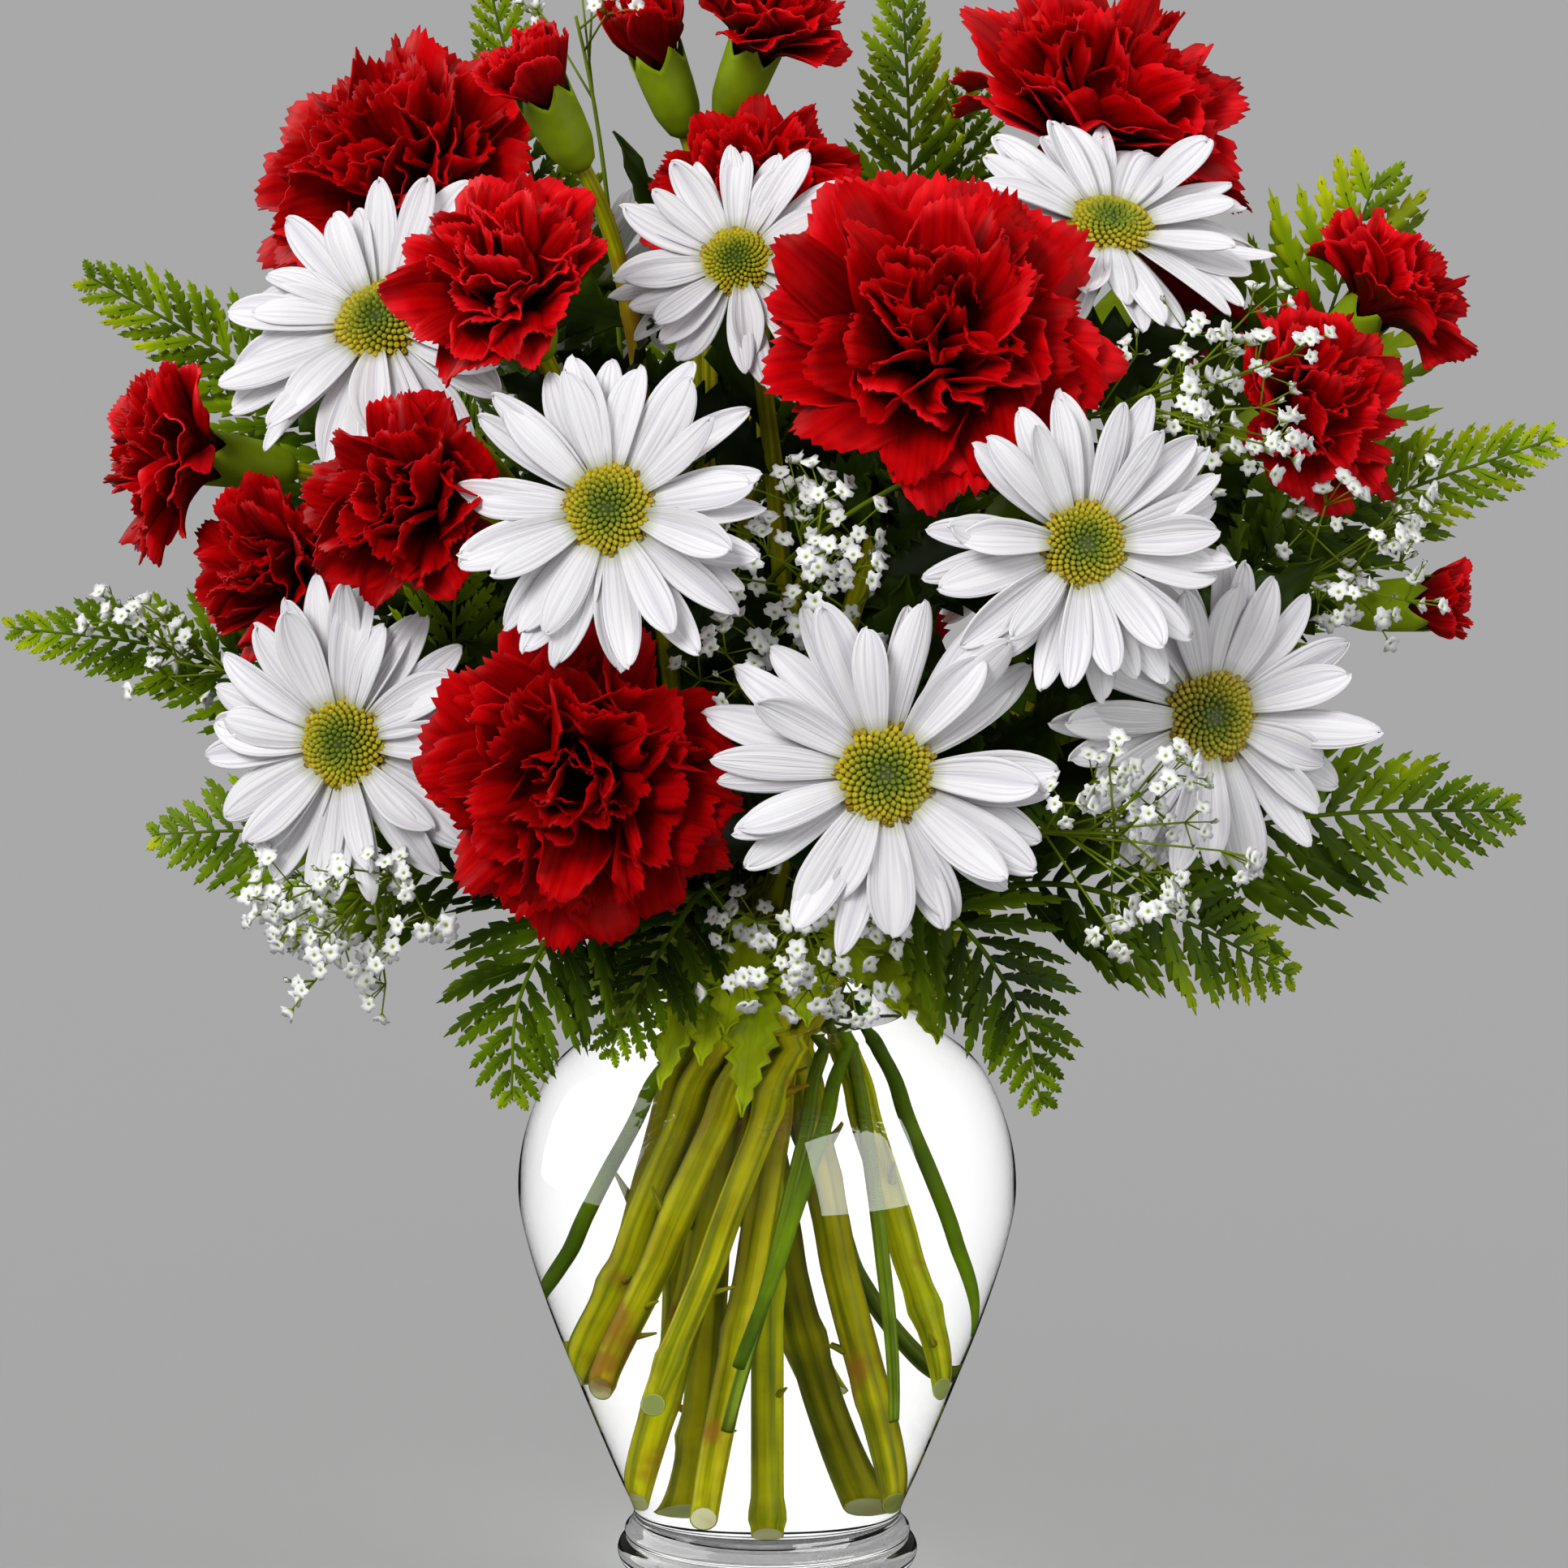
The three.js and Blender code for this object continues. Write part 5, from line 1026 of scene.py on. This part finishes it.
for number, (name, (kind, neck, blooms)) in enumerate(STEMS.items()):
    draw = np.random.default_rng(500 + number)
    solid = solid_points(name)
    thick, slim, joint_gap, swelling, leaf_shares, longest = STEM_KINDS[kind]
    daisy = kind == "daisy"
    neck_point, neck_way = at_neck(neck)
    parts = []
    leaves = []
    runs = []
    for branch, bloom in enumerate(blooms):
        place, facing, across = DAISIES[bloom] if daisy else CARNATIONS[bloom]
        out = bloom_axes(facing)[2]
        mouth = CUP_DEPTH * across + CARNATION_WALL
        down = BRACT_DEPTH if daisy else mouth + CUP_TO_STEM[across > STANDARD_WIDTH]
        start = np.array(place) - down * out
        if branch:
            share = 1 - BRANCH_HEIGHTS[branch - 1]
            end = bezier(runs[0], [share])[0]
            near = bezier(runs[0], [share - 1e-4, share + 1e-4])
            end_way = unit(near[0] - near[1])
        else:
            end, end_way = neck_point, neck_way
        control = run_in_solid(start, -out, end, end_way, 3 if branch else 6, solid)
        runs.append(control)
        path = bezier(control, np.linspace(0, 1, STEM_ROWS))
        radii = np.linspace(slim, BRANCH_RADIUS if branch else thick, STEM_ROWS)
        if not branch:
            foot = cut_end(neck, thick, VASE_FLOOR + 0.0015)
            path = np.vstack([path[:-1], in_vase(neck, np.linspace(NECK_HEIGHT, foot, VASE_ROWS))])
            radii = np.concatenate([radii[:-1], np.full(VASE_ROWS, thick)])
        reach = reach_along(path)
        joints = np.arange(0.035 + 0.02 * draw.random(), reach[-1], joint_gap)
        knot = np.exp(-(((reach[:, None] - joints) / JOINT_LENGTH) ** 2)).sum(axis=1)
        radii = radii * (1 + swelling * knot)
        lead = np.array(place) - np.linspace(down - STEM_IN_CUP, down, 4)[:-1, None] * out
        path = np.vstack([lead, path])
        radii = np.concatenate([[radii[0]] * 3, radii])
        tone = 0.50 + 0.10 * draw.uniform(-1, 1) + 0.08 * np.concatenate([[0] * 3, knot])
        parts.append(tube(path, radii, tone=np.clip(tone, 0, 1), cut=None if branch else 1.0))
        cup, cup_tone = bract_cup(across) if daisy else green_cup(across)
        cup = grids(placed(cup, place, facing), tone=cup_tone)
        cup["material"] = 1
        parts.append(cup)
        if not branch:
            parts += stubs(path, radii, draw.integers(*STUB_ROWS, STUBS), draw)
        leaves += small_leaves(control, leaf_shares, longest, draw)
    for branch, at, tip, half, faces in LEAVES.get(name, ()):
        base = bezier(runs[branch], [at])[0]
        share, turn = leaf_in_solid(base, np.array(tip), half, faces, solid)
        # These keep lobed_leaf's low default tone: painted shade inside the bouquet.
        leaves.append(lobed_leaf(base, np.array(tip), half * share, faces, turn))
    for at, foot, tip, half in NECK_LEAVES.get(name, ()):
        base = bezier(runs[0], [at])[0]
        faces = unit(np.array(tip) * (1, 1, 0)) + (0, 0, 0.9)
        foot, tip = np.array(foot), np.array(tip)
        over = np.array([base, base + (foot - base) * (0.5, 0.5, 0.9), foot, foot + 0.12 * (tip - foot)])
        parts.append(tube(bezier(over, np.linspace(0, 1, 9)), np.full(9, 0.0008), 7, 0.6))
        # High tones: painted light on the leaves over the lip, against the shade of the flowers above.
        leaves.append(lobed_leaf(foot, tip, half, faces, tone=draw.uniform(0.70, 1.05)))
    new_piece(f"{name}_skin", parts, [green_skin, cup_green], name)
    if leaves:
        new_piece(f"{name}_leaves", leaves, [leaf_green], name, wall=0.0005)

# ---------------------------------------------------------------------------
# The ferns. Stiff fronds: narrow leaflets to either side of a midrib, each
# of them deeply cut along its edge into pointed teeth that lean forward.
# ---------------------------------------------------------------------------
# Each group: its place in the neck, the way its upper sides look, and its fronds: midrib points, half width
# and, for some, a way of their own to look.
FERNS = {
    "fern_left": ((0.0256, 165), (-0.2, -1, 0.35), [
        (((-0.040, 0.006, 0.190), (-0.092, 0.014, 0.262),
          (-0.132, 0.014, 0.306), (-0.171, 0.010, 0.331)), 0.026),
        (((-0.050, 0.000, 0.180), (-0.100, 0.008, 0.212),
          (-0.148, 0.004, 0.236), (-0.191, 0.000, 0.243)), 0.020),
        (((-0.052, -0.008, 0.175), (-0.092, -0.026, 0.186),
          (-0.124, -0.024, 0.194), (-0.154, -0.012, 0.192)), 0.024),
        (((-0.026, 0.032, 0.210), (-0.044, 0.048, 0.290),
          (-0.056, 0.054, 0.350), (-0.072, 0.050, 0.406)), 0.024),
        (((-0.044, -0.014, 0.190), (-0.066, -0.046, 0.218),
          (-0.074, -0.060, 0.244), (-0.074, -0.066, 0.272)), 0.024),
        (((-0.048, 0.030, 0.190), (-0.082, 0.056, 0.200),
          (-0.104, 0.064, 0.212), (-0.120, 0.062, 0.226)), 0.024,
         (-1, 0.2, 0.6)),
    ]),
    "fern_front": ((0.0256, -120), (0, -0.8, 0.6), [
        (((-0.030, -0.034, 0.184), (-0.048, -0.058, 0.180),
          (-0.060, -0.072, 0.160), (-0.062, -0.072, 0.137)), 0.024),
        (((-0.014, -0.040, 0.182), (-0.022, -0.058, 0.176),
          (-0.032, -0.068, 0.160), (-0.038, -0.070, 0.147)), 0.017),
        (((0.022, -0.036, 0.184), (0.046, -0.056, 0.182),
          (0.062, -0.066, 0.160), (0.067, -0.066, 0.134)), 0.022),
    ]),
    "fern_right": ((0.0256, -15), (0.2, -1, 0.35), [
        (((0.044, -0.022, 0.178), (0.074, -0.044, 0.184),
          (0.102, -0.048, 0.176), (0.130, -0.036, 0.160)), 0.024),
        (((0.048, -0.004, 0.180), (0.092, -0.024, 0.190),
          (0.138, -0.034, 0.200), (0.184, -0.032, 0.201)), 0.028),
        (((0.048, 0.010, 0.190), (0.096, 0.014, 0.236),
          (0.146, 0.008, 0.270), (0.198, 0.000, 0.291)), 0.024),
        (((0.040, 0.018, 0.200), (0.092, 0.030, 0.252),
          (0.134, 0.026, 0.300), (0.154, 0.020, 0.354)), 0.048),
        (((0.024, 0.032, 0.210), (0.028, 0.034, 0.290),
          (0.036, 0.028, 0.350), (0.034, 0.020, 0.408)), 0.026),
        (((0.046, 0.014, 0.190), (0.084, 0.040, 0.206),
          (0.104, 0.058, 0.228), (0.112, 0.066, 0.256)), 0.026,
         (1, 0.3, 0.4)),
    ]),
    "fern_back": ((0.0256, 75), (0, 1, 0.4), [
        (((-0.026, 0.040, 0.200), (-0.060, 0.076, 0.240),
          (-0.084, 0.096, 0.276), (-0.104, 0.104, 0.316)), 0.026),
        (((0.020, 0.044, 0.190), (0.060, 0.080, 0.196),
          (0.096, 0.096, 0.204), (0.130, 0.096, 0.196)), 0.028),
        (((0.016, 0.040, 0.210), (0.036, 0.060, 0.270),
          (0.048, 0.066, 0.320), (0.052, 0.062, 0.378)), 0.028),
        (((0.000, 0.026, 0.206), (-0.010, 0.024, 0.260),
          (-0.018, 0.022, 0.310), (-0.022, 0.024, 0.352)), 0.024,
         (0, -1, 0.4)),
    ]),
}
# How light each group is: the tone at the foot of its fronds.
FERN_LIGHT = {"fern_left": 0.24, "fern_front": 0.08, "fern_right": 0.27, "fern_back": 0.24}
FERN_RADIUS = 0.0016
STALK_SHARE = 0.4             # the share of a frond's midrib that bears no leaflets
FERN_CROWN = 0.026            # how far above the neck the topmost frond leaves the stalk
FERN_STEP = 0.22              # how much nearer to the neck the next one does, as a share of that
FERN_BENDS = (0, 0.005, 0.010, 0.015, 0.020, 0.026, 0.032)      # those tried for a midrib
BEND_SHARES = np.array([1, 0.9, 0.4, 0])        # how much of a bend each of the midrib's points takes
LOBE_PAIRS = 6                # teeth to either side of a leaflet
FROND_WALL = 0.0003


def centripetal(points, samples):
    """Centripetal Catmull-Rom through points[..., k, xyz], sampled evenly by length."""
    first = 2 * points[..., :1, :] - points[..., 1:2, :]
    last = 2 * points[..., -1:, :] - points[..., -2:-1, :]
    p = np.concatenate([first, points, last], axis=-2)
    gap = np.linalg.norm(np.diff(p, axis=-2), axis=-1, keepdims=True) ** 0.5
    t = np.linspace(0, 1, 24, endpoint=False)[:, None]
    lines = []
    for k in range(points.shape[-2] - 1):
        p0, p1, p2, p3 = (p[..., k + j, None, :] for j in range(4))
        d0, d1, d2 = (gap[..., k + j, None, :] for j in range(3))
        m1 = d1 * ((p1 - p0) / d0 - (p2 - p0) / (d0 + d1) + (p2 - p1) / d1)
        m2 = d1 * ((p2 - p1) / d1 - (p3 - p1) / (d1 + d2) + (p3 - p2) / d2)
        line = (2 * t**3 - 3 * t**2 + 1) * p1 + (t**3 - 2 * t**2 + t) * m1
        lines.append(line + (3 * t**2 - 2 * t**3) * p2 + (t**3 - t**2) * m2)
    line = np.concatenate(lines + [points[..., -1:, :]], axis=-2)
    reach = reach_along(line)
    even = np.linspace(0, reach[-1], samples)
    return np.stack([np.interp(even, reach, line[:, axis]) for axis in range(3)], axis=-1)


def midrib_in_solid(root, through, solid):
    """The frond's midrib, bent aside as its solid is: by the bend that lies nearest the solid's corners."""
    through = np.array(through)
    off = offsets(unit(through[1] - root), FERN_BENDS, BEND_TURNS)
    best = None
    for shift in off:
        line = centripetal(np.vstack([root, through + BEND_SHARES[:, None] * shift]), 61)
        stations = line[[8, 16, 24, 34, 44, 54]]
        apart = np.linalg.norm(stations[:, None] - solid, axis=-1).min(axis=1).sum()
        if best is None or apart < best[0]:
            best = (apart, line)
    return best[1]


def frond_blades(midrib, half, faces, light, draw):
    """Leaflets as points [leaflet, hand, row, column, xyz], and their ribs. A leaflet leaves the midrib at
    a slant. Along it q goes from 0 to 1: it curves forward as q squared, its half width is w (1 -
    q^2.6)^0.6, less at its foot, and its edge is a saw of pointed teeth that lean forward, four rows to a
    tooth. The columns at -1 and 1 are that edge, those inside it the blade that the teeth stand on.
    Leaflets shrink to the frond's tip."""
    leafy = midrib[int(STALK_SHARE * (len(midrib) - 1)):]
    reach = np.linalg.norm(np.diff(leafy, axis=0), axis=1).sum()
    n = max(7, round(reach / (0.0024 + 0.12 * half)))
    spots = np.linspace(0.0, 0.97, n)[:, None] + np.array([0.0, 0.02])
    at = spots * (len(leafy) - 1)
    pick = lambda line: np.stack([np.interp(at, np.arange(len(line)), line[:, a]) for a in range(3)], axis=-1)
    p, way = pick(leafy), unit(pick(unit(np.gradient(leafy, axis=0))))
    side = unit(np.cross(way, np.array(faces, float)))
    face = np.cross(side, way)
    hand = np.array([-1.0, 1.0])[:, None]
    taper = np.minimum(1, 0.76 + 1.6 * spots) * (1 - spots) ** 0.70 + 0.12
    length = 1.25 * half * taper * draw.uniform(0.88, 1.08, (n, 2))
    droop = draw.uniform(-0.26, 0.04, (n, 2, 1))
    slant = draw.uniform(0.45, 0.65, (n, 2, 1)) + 0.5 * spots[..., None] ** 3
    along = unit(0.80 * hand * side + slant * way + droop * face)
    tilt = draw.uniform(-0.30, 0.30, (n, 2, 1))
    up = unit(face + tilt * way - ((face + tilt * way) * along).sum(-1, keepdims=True) * along)
    across = np.cross(up, along)
    tooth_at = np.array([0.0, 0.40, 1.12, 1.06])
    tooth_out = np.array([0.40, 0.84, 1.0, 0.72])
    lobe = np.arange(LOBE_PAIRS)[:, None]
    saw_at = np.append(np.minimum(lobe + tooth_at, LOBE_PAIRS - 0.2) / LOBE_PAIRS, 1.05)
    saw_out = np.append(np.tile(tooth_out, LOBE_PAIRS), 0.0)
    plain = np.append((lobe + np.array([0.0, 0.28, 0.52, 0.76])) / LOBE_PAIRS, 1.05)
    u = np.array([-1.0, -0.42, 0.0, 0.42, 1.0])
    edge = np.abs(u) == 1
    q = np.where(edge, saw_at[:, None], plain[:, None])
    belly = np.minimum(1, 0.30 + 2.4 * plain) * np.clip(1 - plain**2.6, 0, 1) ** 0.6
    wide = belly[:, None] * np.where(edge, np.sign(u) * saw_out[:, None], u)
    ragged = 1 + np.where(edge, draw.uniform(-0.22, 0.22, (n, 2, len(q), 5)), 0)
    size = length[..., None, None]
    broad = 0.60 * reach / n * (0.50 + 0.50 * taper)[..., None, None] * draw.uniform(0.9, 1.1, (n, 2, 1, 1))
    x = q * size
    y = broad * wide * ragged
    z = -0.16 * size * q**2 - 0.16 * np.abs(y) + 0.05 * broad * np.cos(9 * q)
    sweep = 0.16 * size * q**2
    grow = lambda vector: vector[:, :, None, None, :]
    points = (
        p[:, :, None, None] + x[..., None] * grow(along) + y[..., None] * grow(across)
        + z[..., None] * grow(up) + sweep[..., None] * way[:, :, None, None]
    )
    glow = light + 0.42 * spots + draw.uniform(-0.18, 0.18, (n, 2))
    tone = np.clip(glow[..., None, None] + 0.32 * q + 0.18 * np.abs(wide) - 0.12, 0, 1)
    uv = np.stack(np.broadcast_arrays(u / 2 + 0.5, q), axis=-1)
    tips = p + length[..., None] * (0.96 * along - 0.15 * up + 0.15 * way)
    halfway = p + length[..., None] * (0.5 * along - 0.04 * up + 0.04 * way)
    ribs = np.stack([np.stack([p, halfway], axis=2), np.stack([halfway, tips], axis=2)]).reshape(-1, 2, 3)
    return grids(points, uv, tone), ribs


ASKEW = np.array([0.31, 0.55, 0.77])      # a direction that no rib, twig or floret points in


def square_to(way):
    """Two directions square to way and to each other."""
    side = unit(np.cross(way, ASKEW))
    return side, np.cross(way, side)


def rods(ends, thick, thin, tone, sides=4):
    """Straight thin rods from ends[k, 0] to ends[k, 1], all at once."""
    side, other = square_to(unit(ends[:, 1] - ends[:, 0]))
    turn = np.linspace(0, 2 * np.pi, sides + 1)[:, None]
    ring = np.cos(turn) * side[:, None] + np.sin(turn) * other[:, None]
    start, end = ends[:, 0, None], ends[:, 1, None]
    points = np.stack([start + 0 * ring, start + thick * ring, end + thin * ring, end + 0 * ring], axis=1)
    return grids(points, tone=np.full(points.shape[:-1], tone))


def stalk_in_vase(neck, radius, rise, lowest, tone):
    """A thin stalk in the vase, from its crown over the neck down to its cut end: its way up, its neck
    point, its crown and its mesh part."""
    point, way = at_neck(neck)
    crown = point + rise * way
    foot = cut_end(neck, radius, lowest)
    path = np.vstack([crown, in_vase(neck, np.linspace(NECK_HEIGHT, foot, 30))])
    return way, point, crown, tube(path, np.full(len(path), radius), 10, tone)


fern_green = plant_material(
    "fern_green", 0.55, 0.03,
    [(0.0, (0.005, 0.012, 0.0003)), (0.30, (0.040, 0.075, 0.0008)), (0.60, (0.14, 0.23, 0.0015)),
     (0.82, (0.24, 0.36, 0.003)), (1.0, (0.50, 0.56, 0.006))],
    shades=[(0.9, (36, 3.0), [(0.38, (0.28, 0.34, 0.26)), (0.60, (1, 1, 1))])],
    bump=((500, 2.0), 0.3, 0.0003),
)

for number, (name, (neck, faces, fronds)) in enumerate(FERNS.items()):
    draw = np.random.default_rng(700 + number)
    solid = solid_points(name)
    way, neck_point, crown, stalk = stalk_in_vase(neck, FERN_RADIUS, FERN_CROWN, 0.030, 0.5)
    parts = [stalk]
    blades = []
    for k, (through, half, *own_faces) in enumerate(fronds):
        root = crown + (neck_point - crown) * min(FERN_STEP * k, 1)
        midrib = midrib_in_solid(root, through, solid)
        parts.append(tube(midrib, np.linspace(0.0013, 0.0003, len(midrib)), 8, 0.5))
        lobes, ribs = frond_blades(midrib, half, own_faces[0] if own_faces else faces, FERN_LIGHT[name], draw)
        blades.append(lobes)
        parts.append(rods(ribs, 0.0003, 0.0002, 0.45))
    new_piece(f"{name}_ribs", parts, [fern_green], name)
    new_piece(f"{name}_lobes", blades, [fern_green], name, wall=FROND_WALL)

# ---------------------------------------------------------------------------
# The gypsophila. Wiry branching twigs carry clouds of small double white
# florets, each a ruffled button with a green middle and a green cup.
# ---------------------------------------------------------------------------
SPRAYS = {                    # place in the neck, and [centre, spread, florets] of each cloud
    "gypsophila_left": ((0.0183, 135), [
        ((-0.098, -0.078, 0.185), 0.026, 140),
        ((-0.148, -0.014, 0.236), 0.017, 34),
        ((-0.048, 0.012, 0.396), 0.022, 26),
    ]),
    "gypsophila_front": ((0.0183, -15), [
        ((0.010, -0.082, 0.178), 0.023, 84),
        ((0.011, -0.094, 0.266), 0.022, 90),
        ((0.084, -0.106, 0.206), 0.025, 96),
        ((-0.003, -0.098, 0.238), 0.017, 50),
    ]),
    "gypsophila_right": ((0.0183, 45), [
        ((0.104, -0.074, 0.308), 0.023, 90),
        ((0.144, -0.044, 0.262), 0.024, 70),
        ((0.0, 0.098, 0.290), 0.027, 70),
    ]),
}
SPRAY_RADIUS = 0.0016
SPRAY_CROWN = 0.014           # how far above the neck the topmost twig leaves the stalk
SPRAY_STEP = 0.3              # how much nearer to the neck the next one does, as a share of that
BOUQUET_MIDDLE = np.array([0, 0, 0.210])
FLORET_RADIUS = 0.0026
TWIG_REACH = 0.009            # the length of a last twig


def floret_shapes(centres, ways, draw):
    """Small flowers as [floret, row, turn, xyz]: rings from the green middle out to a rim of five petals,
    each with two shoulders and a notch beside it, and back underneath to the green cup. One in five is a
    bud."""
    count = len(centres)
    turn = np.linspace(0, 2 * np.pi, 16)
    rows = np.array([(0.0, 0.02), (0.30, 0.10), (1.0, 0.34), (0.20, -0.42), (0.0, -0.66)])
    rim = np.array([0, 0, 1, 0, 0])[:, None]
    notch = np.where(np.arange(16) % 3 == 0, 0.36, 0.0)
    bud = draw.uniform(0, 1, (count, 1, 1)) < 0.2
    size = np.where(bud, 0.62, draw.uniform(0.78, 1.15, (count, 1, 1)))
    close = np.where(bud, 0.45, 1.0)
    r = rows[:, 0, None] * (1 - rim * notch) * (1 - rim * (1 - close))
    ruffle = 0.16 * np.cos(3 * turn + draw.uniform(0, 6, (count, 1, 1)))
    z = rows[:, 1, None] + rim * (0.9 * (1 - close) + ruffle)
    side, other = square_to(ways)
    local = [r * np.cos(turn), r * np.sin(turn), z + 0 * turn]
    offset = sum(part[..., None] * axis[:, None, None] for part, axis in zip(local, (side, other, ways)))
    tone = np.array([0.0, 0.66, 1.0, 0.1, 0.0])[:, None] * np.where(bud, 0.6, 1.0) + np.zeros((count, 5, 16))
    return grids(centres[:, None, None] + FLORET_RADIUS * size[..., None] * offset, tone=tone)


floret_white = plant_material("floret_white", 0.6, 0.2, [
    (0.0, (0.07, 0.13, 0.01)), (0.3, (0.36, 0.44, 0.12)),
    (0.6, (0.78, 0.79, 0.74)), (1.0, (0.86, 0.86, 0.87)),
])
twig_green = stem_material("twig_green", [(0.0, (0.08, 0.13, 0.004)), (1.0, (0.24, 0.33, 0.012))])

for number, (name, (neck, clouds)) in enumerate(SPRAYS.items()):
    draw = np.random.default_rng(900 + number)
    solid = solid_points(name)
    way, neck_point, crown, stalk = stalk_in_vase(neck, SPRAY_RADIUS, SPRAY_CROWN, 0.024, 0.4)
    parts = [stalk]
    for c, (centre, spread, count) in enumerate(clouds):
        centre = np.array(centre)
        outward = unit(centre - BOUQUET_MIDDLE)
        end = crown + (neck_point - crown) * SPRAY_STEP * c
        control = run_in_solid(centre, -outward, end, way, 5, solid)
        parts.append(tube(bezier(control, np.linspace(0, 1, 30)), np.linspace(0.0005, 0.0012, 30), 6, 0.6))
        forks = max(5, count // 5)
        off = unit(draw.normal(0, 1, (forks, 3))) * draw.uniform(0.1, 0.9, (forks, 1)) ** 0.5
        fork = centre + off * spread + outward * 0.003
        roots = bezier(control, draw.uniform(0.0, 0.12, forks))
        parts.append(rods(np.stack([roots, fork], axis=1), 0.00036, 0.00026, 0.8, 5))
        owner = np.arange(count) % forks
        spray_way = unit(unit(draw.normal(0, 1, (count, 3))) + 0.9 * outward + 0.6 * off[owner])
        heads = fork[owner] + spray_way * TWIG_REACH * draw.uniform(0.4, 1.2, (count, 1))
        parts.append(rods(np.stack([fork[owner], heads], axis=1), 0.00024, 0.00020, 0.9))
        toward = np.array([0, -0.3, 0.3]) if centre[1] < 0.05 else np.array([0, 0.3, 0.3])
        flowers = floret_shapes(heads, unit(spray_way + toward), draw)
        flowers["material"] = 1
        parts.append(flowers)
    new_piece(f"{name}_florets", parts, [twig_green, floret_white], name)

# ---------------------------------------------------------------------------
# Last, the scene is brought up to date.
# ---------------------------------------------------------------------------
bpy.context.view_layer.update()
